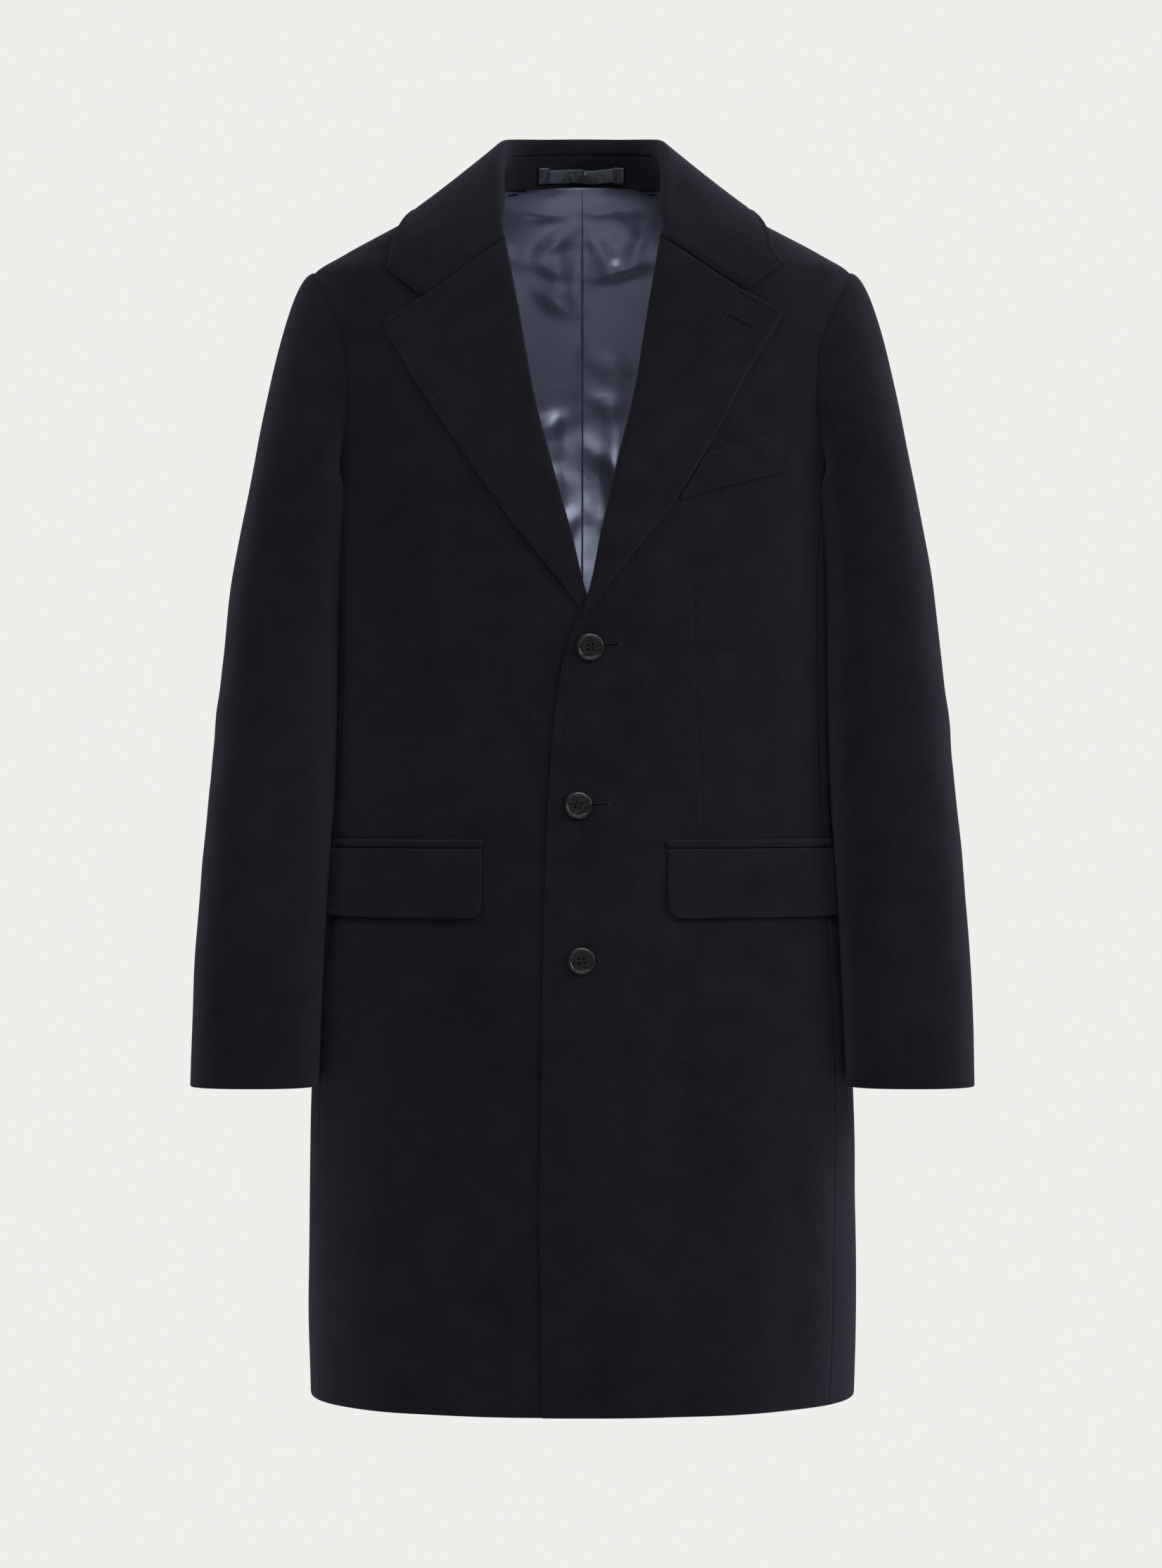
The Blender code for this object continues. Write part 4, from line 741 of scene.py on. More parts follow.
def liningSwell(points):
    lift = np.zeros(points.shape[:-1])
    x, z = points[..., 0], points[..., 2]
    for x1, z1, x2, z2, width, depth in liningFolds:
        t = np.clip(((x - x1) * (x2 - x1) + (z - z1) * (z2 - z1)) / ((x2 - x1)**2 + (z2 - z1)**2), 0, 1)
        gap = np.hypot(x - x1 - t * (x2 - x1), z - z1 - t * (z2 - z1))
        lift += depth * np.sin(np.pi * (0.12 + 0.88 * t))**0.8 * np.exp(-(gap / width)**2)
    waves = np.sin(2 * np.pi * z / liningCut["puckerStep"] + 1.7 * np.sin(31 * z))
    return lift + np.exp(-(np.abs(x) / liningCut["puckerWide"])**1.5) * waves * liningCut["puckerHigh"]


def drawLining(side):
    base, normals = backGrid(side, coat["hemZ"] + liningCut["aboveHem"], liningCut["inset"], 52)
    folds = liningSwell(base)
    folds = liningCut["foldLeast"] + 0.5 * (folds + np.hypot(folds, liningCut["foldSoft"]))
    # its top edge runs level behind the foot of the stand
    x, z = base[..., 0], base[..., 2]
    edgeZ = coat["napeZ"] * np.clip(1 - (x / coat["neckHalf"])**2, 0, 1)
    near = smoothStep((z + 0.012) / (edgeZ + 0.012)) * (1 - smoothStep((np.abs(x) - 0.060) / 0.014))
    base[..., 2] = z + (coat["napeZ"] - edgeZ + liningCut["edgeUp"]) * near
    folds = folds * (1 - 0.75 * smoothStep((z + 0.006) / 0.012))
    # cloth stands in from the wool, so a fold rises towards the wearer
    lift = -(coat["wool"] + coat["liningGap"]) + bodySwell(base)
    base = base + times(normals, lift - liningCut["off"] - folds)
    shapedWall("satinLining." + side, base, normals, coat["satin"], ("fold", "seam", "fold", "fold"),
               "lining", ["lining_back_" + side])


for side in signOf:
    drawLining(side)
print("lining drawn")


rollSteps = np.array([   # past the roll and over the front, for the outer and the inner face
    (0.0004, -0.0023, 0.0000, -0.0019), (0.0024, -0.0012, 0.0000, -0.0010), (0.0034, 0.0012, 0.0000, 0.0000),
    (0.0028, 0.0038, 0.0000, 0.0006), (0.0008, 0.0055, -0.0010, 0.0012),
])
lapelRoll = {"corner": 0.0060, "lift": 0.0042, "height": 0.0020, "reach": 0.022, "flatEnd": 0.27,
             "topWide": 0.30, "top": 0.004, "endZ": {"left": -0.3455, "right": -0.3450}}
lapelShares = np.array([0.05, 0.09, 0.13, 0.18, 0.23, 0.28, 0.34, 0.40, 0.46, 0.52, 0.58, 0.64, 0.68, 0.705, 0.72,
                        0.735, 0.76, 0.81, 0.86, 0.90, 0.935, 0.96, 0.977, 0.988, 0.995, 1.0])[None, :]
doubleFold = {"share": 0.80, "reach": 1.15}     # how the edges of double cloth round off


def rollPoint(side, down):
    z = blendTo(rollLine[side][0][1], lapelRoll["endZ"][side], down)
    return lineX(rollLine[side], z), z


def lapelPoint(side, across, down):
    top, edge = rollPoint(side, down), alongLine(lapelEdge[side], down)
    corner, start = alongLine(lapelEdge[side], 0.0), rollPoint(side, 0.0)
    bend = np.minimum(across / notchShare, (1 - across) / (1 - notchShare)) * (1 - down)**6
    bendX = (notch[side][0] - blendTo(start[0], corner[0], notchShare)) * bend
    bendZ = (notch[side][1] - blendTo(start[1], corner[1], notchShare)) * bend
    return blendTo(top[0], edge[0], across) + bendX, blendTo(top[1], edge[1], across) + bendZ


def lapelLift(distance):
    return lapelRoll["lift"] + lapelRoll["height"] * np.exp(-(distance / lapelRoll["reach"])**2)


def rollStep(place):
    # smooth reading of the table of roll steps
    return [smoothCurve(range(len(rollSteps)), rollSteps[:, k], place) for k in range(4)]


def drawLapel(side):
    down = np.concatenate([[lapelRoll["top"], 0.0055, 0.008, 0.013], np.linspace(0.020, 1.0, 64)])[:, None]
    startX, startZ = rollPoint(side, down)
    edge = lapelPoint(side, 1.0, down)
    width = np.maximum(edge[0] - startX, 0.004)
    soft = blendTo(1.0, lapelRoll["flatEnd"], smoothStep((down - 0.78) / 0.22))
    past, up, innerPast, innerUp = rollStep(np.linspace(0, len(rollSteps) - 1, 13)[None, :])
    outer = [onFront(side, startX - past * soft, startZ + 0 * past, up * soft)]
    inner = [onFront(side, startX - innerPast * soft, startZ + 0 * past, innerUp * soft)]
    # the tip of the lapel is a little rounded
    corner, topWide = lapelRoll["corner"], lapelRoll["topWide"]
    p = np.clip(1 - (1 - lapelShares) * width / corner, 0, 1)
    q = np.clip(1 - (down - down[0]) * topWide / corner, 0, 1)
    x, z = lapelPoint(side, lapelShares - p * (1 - np.sqrt(1 - q * q / 2)) * corner / width,
                      down + q * (1 - np.sqrt(1 - p * p / 2)) * corner / topWide)
    lift = lapelLift(lapelShares * width) * soft
    thick = np.minimum(coat["doubleWool"], lift - coat["restGap"])
    gap = np.minimum((1 - lapelShares) * width, (down - down[0]) * topWide)
    drop = foldDrop(gap, thick, **doubleFold)
    outer.append(onFront(side, x, z, lift - drop + edgePuff(gap)))
    inner.append(onFront(side, x, z, lift - thick + drop))
    clothWall("woolLapel." + side, np.concatenate(outer, axis=1)[::-1], np.concatenate(inner, axis=1)[::-1],
              "lapel", ["lapel_" + side])


for side in signOf:
    drawLapel(side)
print("lapels drawn")


collarCut = {"radius": 0.0055, "turns": (45.0, 75.0, 105.0, 138.0, 170.0), "seamDrop": 0.0130, "standClear": 0.0012,
             "foldWool": 0.0026, "lift": 0.0052, "mostRadius": 0.40, "mostDrop": 0.60,
             "backFrom": 0.0045, "lyingBy": 0.065,
             "footIn": (0.0012, 0.0050), "footUp": (0.0004, -0.0030)}     # foot of the stand, at the side and the back
fallShares = np.array([0.0, 0.010, 0.022, 0.042, 0.075, 0.115, 0.16, 0.21, 0.25, 0.28, 0.31, 0.36, 0.42, 0.48,
                       0.54, 0.60, 0.66, 0.72, 0.78, 0.85, 0.92])
foldTurns = np.linspace(collarCut["turns"][0], collarCut["turns"][-1], 13)


def stationAt(place):
    return [float(smoothCurve(np.arange(len(collarStations)), collarStations[:, k], place)) for k in range(6)]


def collarFrame(place):
    foldX, foldY, foldZ, edgeAngle, edgeZ, neckX = stationAt(place)
    if foldY > collarCut["backFrom"]:
        neckZ = coat["napeZ"] * (1 - (neckX / coat["neckHalf"])**2)
        neckPoint = trunkPoint(180 - angleOf(neckX, neckZ), neckZ)
    else:
        neckZ = float(smoothCurve([p[0] for p in neckLine], [p[1] for p in neckLine], neckX))
        neckPoint = trunkPoint(angleOf(neckX, neckZ), neckZ)
    foldPoint = np.array([foldX, foldY, foldZ])
    edge = trunkPoint(edgeAngle, edgeZ)
    lying = float(smoothStep(-foldY / collarCut["lyingBy"]))
    up = unit(blendTo(np.array([0, 0, 1.0]), trunkNormal(neckPoint), lying))
    away = edge - foldPoint
    out = unit(away - up * (away @ up))
    return foldPoint, neckPoint, up, out, edgeAngle, edgeZ


def collarRow(place):
    foldPoint, neckPoint, up, out, edgeAngle, edgeZ = collarFrame(place)
    neckAngle = float(angleOf(abs(neckPoint[0]), neckPoint[2]))
    if neckPoint[1] > 0:
        neckAngle = 180 - neckAngle
    reach = np.linalg.norm(foldPoint - neckPoint)
    radius = min(collarCut["radius"], collarCut["mostRadius"] * reach)
    middle = foldPoint - up * radius
    first = np.radians(collarCut["turns"][0])
    turned = middle + (out * np.cos(first) + up * np.sin(first)) * radius
    s = fallShares
    base = trunkPoint(blendTo(edgeAngle, neckAngle, s), blendTo(edgeZ, neckPoint[2], s))
    fall = base + times(trunkNormal(base), collarCut["lift"] * (1 - s)) + s[:, None] * (turned - neckPoint)
    a = np.radians(foldTurns)[:, None]
    fold = middle + out * (radius * np.cos(a)) + up * (radius * np.sin(a))
    drop = min(collarCut["seamDrop"], collarCut["mostDrop"] * reach)
    seam = middle - out * radius * 1.02 - up * (drop - radius)
    return np.concatenate([fall, fold, [blendTo(fold[-1], seam, 0.5), seam]])


def gorgeRow(side):
    rise = 0.0003     # over the lapel's top edge
    tip, rollX, rollZ = collarTip[side], *rollPoint(side, 0.0)
    s = fallShares
    toward = np.clip((s - fallShares[9]) / notchShare, 0, 1)
    x, z = lapelPoint(side, notchShare * (1 - toward), 0.0)
    t = np.clip(s / fallShares[9], 0, 1)
    x, z = (np.where(t < 1, blendTo(tip[0], x[9], t), x),
            np.where(t < 1, blendTo(tip[1], z[9] + rise, t), z + rise))
    lift = np.where(t < 1, collarCut["lift"], lapelLift(x - rollX) + 0.0006)
    past, up, _, _ = rollStep(np.interp(foldTurns, collarCut["turns"], [4, 3, 2, 1, 0]))
    last = [onFront(side, rollX - 0.0002, rollZ + rise, rollSteps[0, 1] - under) for under in (0.0006, 0.0012)]
    return np.concatenate([onFront(side, x, z, lift), onFront(side, rollX - past, rollZ + rise + 0 * past, up), last])


def refinedRows(grid, parts):
    # smooth rows between the given ones
    step = np.concatenate([[0], np.cumsum(np.linalg.norm(np.diff(grid, axis=0), axis=-1).mean(axis=1))])
    slope = np.gradient(grid, step, axis=0)
    rows = []
    for i in range(len(grid) - 1):
        width = step[i + 1] - step[i]
        for t in np.arange(parts) / parts:
            rows.append(hermite(t, grid[i], slope[i], grid[i + 1], slope[i + 1], width))
    return np.array(rows + [grid[-1]])


def mirrored(points):
    return points * np.array([-1.0, 1.0, 1.0])


def drawCollar():
    last = len(collarStations) - 1
    half = np.array([collarRow(last * i / 12) for i in range(13)])
    rows = np.concatenate([[gorgeRow("right")], mirrored(half[:0:-1]), half, [gorgeRow("left")]])
    base = refinedRows(rows, 5)
    normals = gridNormals(base)
    if normals[len(base) // 2, 2, 1] < 0:
        normals = -normals
    walls = [coat["doubleWool"]] * 2 + [collarCut["foldWool"]] * 2
    thick = np.interp(np.arange(base.shape[1]), [0, 20, 23, 40], walls)
    thick = np.broadcast_to(thick, base.shape[:2])
    gaps = edgeDistances(base)
    onFall = np.arange(base.shape[1])[None, :] < 10
    away = np.minimum(gaps["start"], np.where(onFall, np.minimum(gaps["low"], gaps["high"]), 1.0))
    drop = foldDrop(away, thick, **doubleFold)
    clothWall("woolCollar", base + times(normals, edgePuff(away) - drop), base - times(normals, thick - drop),
              "collar", ["collar_fall"])


def standPoints(place, shares):
    _, neckPoint, up, out, _, _ = collarFrame(place)
    seam = collarRow(place)[-1]
    atBack = float(smoothStep((neckPoint[1] + 0.010) / 0.050))
    foot = neckPoint - out * blendTo(*collarCut["footIn"], atBack) + up * blendTo(*collarCut["footUp"], atBack)
    top = seam + unit(foot - seam) * collarCut["standClear"]
    return np.array([blendTo(top, foot, s) for s in shares]), out


def drawStand():
    last = len(collarStations) - 1
    shares = [0.0, 0.03, 0.07, 0.13, 0.22, 0.34, 0.48, 0.62, 0.76, 0.88, 0.95, 1.0]
    half = np.array([standPoints(last * i / 11, shares)[0] for i in range(12)])
    rows = refinedRows(np.concatenate([mirrored(half[:0:-1]), half]), 7)
    normals = gridNormals(rows)
    outward = np.sum(normals[..., :2] * rows[..., :2], axis=-1) > 0
    normals = np.where(outward[..., None], -normals, normals)     # towards the neck
    shapedWall("woolStand", rows, normals, coat["wool"], ("seam", "seam", "fold", "fold"),
               "plain", ["collar_stand"])


drawCollar()
drawStand()
print("collar drawn")


pocketCut = {"jetTop": -0.5298, "flapTop": -0.5368, "flapBottom": -0.5910, "innerX": {"left": 0.0665, "right": 0.0785},
             "outerX": 0.2000, "corner": 0.010, "gap": 0.0008, "jetRise": 0.0016}
weltTop = [(0.1579, -0.2076), (0.1086, -0.2224), (0.0800, -0.2330)]
weltBottom = [(0.1568, -0.2393), (0.0763, -0.2633)]


def laidPiece(name, node, side, x, z, lift, thick, finishes, paint):
    shapedWall(name, onFront(side, x, z, lift + thick), frontNormal(side, x, z), thick, finishes, paint, [node])


def drawPocket(side):
    innerX, outerX, corner = pocketCut["innerX"][side], pocketCut["outerX"], pocketCut["corner"]
    across = nearEdge(26, 0.14)[None, :]
    down = np.linspace(0, 1, 13)[:, None]
    z = blendTo(pocketCut["jetTop"], pocketCut["flapTop"] + 0.0008, down)
    angle = blendTo(angleOf(innerX - 0.001, z), angleOf(outerX - 0.005, z), across)
    lift = pocketCut["gap"] + pocketCut["jetRise"] * np.sin(np.pi * down)
    laidPiece("woolJet." + side, "pocket_jet_" + side, side, trunkPoint(angle, z)[..., 0], z + 0 * across, lift,
              coat["wool"], ("fold",) * 4, "plain")
    down = np.array(list(np.linspace(0, 0.9, 16)) + [0.935, 0.96, 0.978, 0.99, 1.0])[:, None]
    z = blendTo(pocketCut["flapTop"], pocketCut["flapBottom"], down)
    foot = np.maximum(0.0, 1 - (z - pocketCut["flapBottom"]) / corner)
    inset = corner * (1 - np.sqrt(np.maximum(1 - foot * foot, 0.0)))
    angle = blendTo(angleOf(innerX + inset, z), angleOf(outerX, z), across)
    # the flap stands off a little towards its foot, most at its corner
    lift = pocketCut["gap"] + 0.0009 * down**2 + 0.0007 * down**3 * (1 - across)**2 - 0.0006 * (1 - down)**8
    laidPiece("woolFlap." + side, "pocket_flap_" + side, side, trunkPoint(angle, z)[..., 0], z + 0 * across, lift,
              coat["doubleWool"], ("fold", "fold", ("fold", 0.5), "fold"), "flap")


def drawWelt():
    across = nearEdge(20, 0.08)[None, :]
    down = nearEdge(8, 0.032, (0.0006, 0.0014, 0.0026))[:, None]
    topX, topZ = alongLine(weltTop, across)
    footX, footZ = alongLine(weltBottom, across)
    x, z = blendTo(topX, footX, down), blendTo(topZ, footZ, down)
    x = np.maximum(x, lineX(lapelEdge["left"], z) + 0.0014)
    laidPiece("woolWelt", "breast_welt", "left", x, z, coat["restGap"], coat["wool"],
              ("fold", "fold", "fold", "seam"), "welt")


for side in signOf:
    drawPocket(side)
drawWelt()
print("pockets drawn")


def armholePoint(turn):
    s, c = np.sin(np.radians(turn)), np.cos(np.radians(turn))
    y = -armhole["halfY"] * c * (1 - armhole["egg"] * s)
    z = armhole["midZ"] + armhole["halfZ"] * s
    return np.stack([trunkWidthAt(y, z), y, z], axis=-1)


def sleeveRingPoint(turn, z):
    outer, inner, midY, halfY = (smoothCurve(sleeveRings[:, 0], sleeveRings[:, k], z) for k in (1, 2, 3, 4))
    s, c = np.sin(np.radians(turn)), np.cos(np.radians(turn))
    power = 2 / sleeveCut["power"]
    x = (outer + inner) / 2 + (outer - inner) / 2 * np.abs(s)**power * np.sign(s)
    y = midY - halfY * np.abs(c)**power * np.sign(c)
    return np.stack([x, y, z + 0 * x], axis=-1)


def keptClear(points):
    x, y, z = points[..., 0], points[..., 1], points[..., 2]
    # the sleeve makes room for the flap of the pocket
    low, high = sleeveCut["flapZ"]
    flap = smoothStep((z - low) / 0.03) * smoothStep((high - z) / 0.03) * smoothStep((-0.012 - y) / 0.022)
    sideX = trunkWidthAt(y, z) + sleeveCut["clear"] + sleeveCut["flapClear"] * flap
    over = x - sideX
    return np.stack([sideX + (over + np.sqrt(over * over + sleeveCut["soft"]**2)) / 2, y, z], axis=-1)


def sleevePoint(turn, down, side="left"):
    turn, down = np.broadcast_arrays(np.asarray(turn, float), np.asarray(down, float))
    armpit, cuff = sleeveRings[0, 0], sleeveRings[-1, 0]
    arm = keptClear(sleeveRingPoint(turn, blendTo(armpit, cuff, np.clip(down - 1, 0, 1))))
    # the cap runs from the armhole's seam to the ring at the armpit
    seam = armholePoint(turn)
    swell = bodySwell(mirrored(seam) if side == "right" else seam)
    seam = seam + times(trunkNormal(seam), swell - sleeveCut["sunk"]) - np.array([sleeveCut["sunk"], 0, 0])
    top = sleeveRingPoint(turn, armpit + 0 * turn)
    below = unit(sleeveRingPoint(turn, armpit - 0.010 + 0 * turn) - top)
    ring = keptClear(top)
    reach = np.linalg.norm(ring - seam, axis=-1)[..., None]
    s, c = np.sin(np.radians(turn)), np.cos(np.radians(turn))
    leave = np.stack([0.31 + 0 * s, -0.10 * c, -0.02 * s], axis=-1) * reach
    t = np.clip(down, 0, 1)[..., None]
    cap = hermite(t, seam, leave, ring, below * reach)
    cap = blendTo(cap, keptClear(cap), smoothStep(t / 0.35))
    return np.where((down >= 1)[..., None], arm, cap)


def sleeveNormal(turn, down, side="left"):
    around = sleevePoint(turn + 2.0, down, side) - sleevePoint(turn - 2.0, down, side)
    along = (sleevePoint(turn, np.minimum(down + 0.01, 2.0), side)
             - sleevePoint(turn, np.maximum(down - 0.01, 0), side))
    return unit(np.cross(around, along))


# creases of each sleeve: turn and height where each starts and ends, on the wearer's left and right
sleeveCreases = {
    "left": [(60, -0.16, 20, -0.30, 0.014, -0.0016), (110, -0.20, 95, -0.42, 0.022, 0.0016),
             (35, -0.40, 95, -0.455, 0.012, -0.0016), (20, -0.445, 80, -0.475, 0.011, 0.0013),
             (25, -0.49, 70, -0.52, 0.011, -0.0012), (120, -0.43, 165, -0.50, 0.014, -0.0018),
             (130, -0.47, 170, -0.545, 0.012, 0.0014), (70, -0.54, 60, -0.72, 0.018, 0.0012),
             (140, -0.20, 160, -0.38, 0.020, -0.0018), (95, -0.115, 110, -0.20, 0.014, 0.0010)],
    "right": [(55, -0.17, 22, -0.33, 0.015, -0.0018), (105, -0.22, 92, -0.40, 0.020, 0.0017),
              (30, -0.41, 90, -0.440, 0.012, -0.0014), (22, -0.45, 85, -0.490, 0.012, 0.0014),
              (28, -0.50, 75, -0.515, 0.010, -0.0011), (118, -0.42, 160, -0.48, 0.013, -0.0016),
              (128, -0.46, 172, -0.535, 0.013, 0.0015), (75, -0.55, 62, -0.73, 0.017, 0.0013),
              (138, -0.21, 158, -0.40, 0.021, -0.0016), (90, -0.112, 112, -0.19, 0.013, 0.0010)],
}


def armShare(z):
    # place along the sleeve: 1 at the armpit, 2 at the cuff
    return 1 + (z - sleeveRings[0, 0]) / (sleeveRings[-1, 0] - sleeveRings[0, 0])


def creaseEnd(turn, z):
    if z < sleeveRings[0, 0]:
        down = armShare(z)
    else:
        down = max(0.2, (armhole["midZ"] + armhole["halfZ"] * math.sin(math.radians(turn)) - z) / 0.12)
    return sleevePoint(turn, min(down, 2.0))


def sleeveSwell(side, points):
    folds = [(creaseEnd(turn1, z1), creaseEnd(turn2, z2), width, depth)
             for turn1, z1, turn2, z2, width, depth in sleeveCreases[side]]
    return creased(points, folds) + rippled(points + 0.3 * signOf[side], 0.060, 0.00030)


def drawSleevePart(name, node, side, firstSeam, secondSeam, turnRound, columns):
    armLength = sleeveRings[0, 0] - sleeveRings[-1, 0]
    rows = np.concatenate([[0.0, 0.004, 0.010, 0.020, 0.038], np.linspace(0.038, 1.0, 34)[1:],
                           np.linspace(1.0, 2.0, 84)[1:-1], [2 - d / armLength for d in edgeSteps[::-1]], [2.0]])
    down = np.array(sorted(set(np.round(rows, 6))))[:, None]
    start = blendTo(firstSeam[0], firstSeam[1], 1 - down / 2)
    end = blendTo(secondSeam[0], secondSeam[1], 1 - down / 2) + turnRound
    turn = blendTo(start, end, nearEdge(columns, 0.17)[None, :])
    down = down + 0 * turn
    base = sleevePoint(turn, down, side)
    normals = sleeveNormal(turn, down, side)
    # no creases where the sleeve lies beside the trunk
    besideX = trunkWidthAt(base[..., 1], base[..., 2])
    room = smoothStep((base[..., 0] - besideX - 0.006) / 0.02) * smoothStep(down / 0.15)
    base = base + times(normals, sleeveSwell(side, base) * room)
    if side == "right":
        base, normals = mirrored(base), mirrored(normals)
    shapedWall(name + side, base, normals, coat["wool"], ("seam", "seam", "seam", "fold"), "plain", [node + side])


for side in signOf:
    drawSleevePart("woolSleeveTop.", "sleeve_top_", side, sleeveCut["forearm"], sleeveCut["hindarm"], 0.0, 34)
    drawSleevePart("woolSleeveUnder.", "sleeve_under_", side, sleeveCut["hindarm"], sleeveCut["forearm"], 360.0, 26)
print("sleeves drawn")


def boltDown(piece, spot, facing, spin=0.0):
    # moves the mesh itself, so the piece stays at the origin
    turn = Vector(facing).to_track_quat("Z", "Y").to_matrix().to_4x4() @ Matrix.Rotation(spin, 4, "Z")
    piece.data.transform(Matrix.Translation(Vector(spot)) @ turn)
    piece.data.update()


# lengths as shares of the radius, heights as shares of the thickness
buttonSizes = {
    "large": {"radius": 0.0110, "thick": 0.0034, "hole": 0.092, "holeReach": 0.225, "threadTop": 1.02,
              "profile": [(0.07, 0.30), (0.09, 0.06), (0.05, 0.0), (0.04, -0.14), (0.05, 0.0), (0.06, 0.02),
                          (0.22, -0.08)]},
    "small": {"radius": 0.0074, "thick": 0.0024, "hole": 0.095, "holeReach": 0.235, "threadTop": 1.0,
              "profile": [(0.08, 0.30), (0.10, 0.05), (0.05, 0.0), (0.06, -0.16), (0.06, 0.02), (0.20, -0.06)]},
}
buttonCut = {"body": 0.55, "foot": (0.16, 0.22), "bevel": 0.045, "thread": 0.030, "bar": 0.72, "strand": 0.045}


def turnedButton(name, size):
    # a groove inside a raised rim, and four holes
    radius, thick = size["radius"], size["thick"]
    bpy.ops.object.select_all(action="DESELECT")
    bpy.ops.mesh.primitive_cylinder_add(vertices=64, radius=radius, depth=thick * buttonCut["body"],
                                        location=(0, 0, 0), end_fill_type="NGON")
    body = bpy.context.object
    body.name = name
    for way, insets in ((1, size["profile"]), (-1, [buttonCut["foot"]])):
        bpy.ops.object.mode_set(mode="EDIT")
        bpy.ops.mesh.select_mode(type="FACE")
        bpy.ops.mesh.select_all(action="DESELECT")
        bpy.ops.object.mode_set(mode="OBJECT")
        for face in body.data.polygons:
            face.select = way * face.normal.z > 0.9
        bpy.ops.object.mode_set(mode="EDIT")
        for inset, rise in insets:
            bpy.ops.mesh.inset(thickness=inset * radius, depth=rise * thick)
    bpy.ops.mesh.select_all(action="SELECT")
    bpy.ops.transform.translate(value=(0, 0, thick * 0.5))
    bpy.ops.object.mode_set(mode="OBJECT")
    soften = body.modifiers.new("softEdges", "BEVEL")
    soften.width, soften.segments, soften.limit_method = buttonCut["bevel"] * radius, 3, "ANGLE"
    soften.angle_limit = math.radians(18)
    bpy.ops.object.modifier_apply(modifier=soften.name)
    reach = size["holeReach"] * radius
    for corner in range(4):
        a = math.radians(45 + 90 * corner)
        bpy.ops.mesh.primitive_cylinder_add(vertices=20, radius=size["hole"] * radius, depth=4 * thick,
                                            location=(reach * math.cos(a), reach * math.sin(a), 0))
        drill = bpy.context.object
        bpy.context.view_layer.objects.active = body
        cut = body.modifiers.new("threadHole", "BOOLEAN")
        cut.operation, cut.object, cut.solver = "DIFFERENCE", drill, "EXACT"
        bpy.ops.object.modifier_apply(modifier=cut.name)
        bpy.data.objects.remove(drill)
    bpy.ops.object.select_all(action="DESELECT")
    body.select_set(True)
    bpy.context.view_layer.objects.active = body
    bpy.ops.object.shade_smooth_by_angle(angle=math.radians(35))
    body.data.materials.clear()
    body.data.materials.append(paints["horn"])
    return body


def threadBars(size):
    # two short bars of thread through the holes, three strands each
    reach = size["holeReach"] * size["radius"] * buttonCut["bar"]
    offs = [row * reach + strand * size["radius"] * buttonCut["strand"]
            for row in (-1, 1) for strand in (-0.6, 0.0, 0.6)]
    return [[(reach * t, off, size["threadTop"] * size["thick"] * (1 - 0.75 * t**4)) for t in np.linspace(-1, 1, 9)]
            for off in offs]


def threadMesh(name, paths, radius, paint, sides=5):
    # every stitch is a short round bar
    verts, faces = [], []
    around = np.arange(sides) * 2 * np.pi / sides
    for path in paths:
        path = np.asarray(path, float)
        count = len(path)
        tangent = unit(np.gradient(path, axis=0))
        guide = np.array([0.0, 0.0, 1.0]) if abs(tangent[count // 2, 2]) < 0.8 else np.array([0.0, 1.0, 0.0])
        first = unit(np.cross(tangent, guide))
        second = np.cross(tangent, first)
        size = radius * np.where((np.arange(count) == 0) | (np.arange(count) == count - 1), 0.55, 1.0)
        ways = first[:, None] * np.cos(around)[None, :, None] + second[:, None] * np.sin(around)[None, :, None]
        at = len(verts)
        verts.extend((path[:, None] + size[:, None, None] * ways).reshape(-1, 3).tolist())
        for i in range(count - 1):
            for k in range(sides):
                a, b = at + i * sides + k, at + i * sides + (k + 1) % sides
                faces.append((a, a + sides, b + sides, b))
        faces.append(tuple(at + k for k in range(sides)))
        faces.append(tuple(at + (count - 1) * sides + k for k in range(sides - 1, -1, -1)))
    return newPiece(name, verts, faces, paint)


def surfaceAt(name, row, column):
    # point and normal on a drawn face at fractional grid places
    face = surfaces[name]
    rows, columns = face["outer"].shape[:2]
    row, column = np.clip(row, 0, rows - 1.001), np.clip(column, 0, columns - 1.001)
    i, j = np.floor(row).astype(int), np.floor(column).astype(int)
    u, v = (row - i)[..., None], (column - j)[..., None]

    def read(grid):
        return ((grid[i, j] * (1 - v) + grid[i, j + 1] * v) * (1 - u)
                + (grid[i + 1, j] * (1 - v) + grid[i + 1, j + 1] * v) * u)
    return read(face["outer"]), unit(read(face["normals"]))


def insetLine(name, edge, inset):
    # the line at a set distance inside an edge, with the run along it that the paint's maps use
    face = surfaces[name]
    along = edge in ("start", "end")
    run = face[{"start": "low", "end": "high", "low": "start", "high": "end"}[edge]]
    gap, run = (face[edge], run) if along else (face[edge].T, run.T)
    order = [1 if r[-1] > r[0] else -1 for r in gap]
    places = np.array([np.interp(inset, r[::way], np.arange(len(r))[::way]) for r, way in zip(gap, order)])
    steps = np.arange(len(gap), dtype=float)
    point, normal = surfaceAt(name, steps, places) if along else surfaceAt(name, places, steps)
    run = np.array([np.interp(place, np.arange(len(r)), r) for place, r in zip(places, run)])
    return (point, normal, run) if run[-1] > run[0] else (point[::-1], normal[::-1], run[::-1])


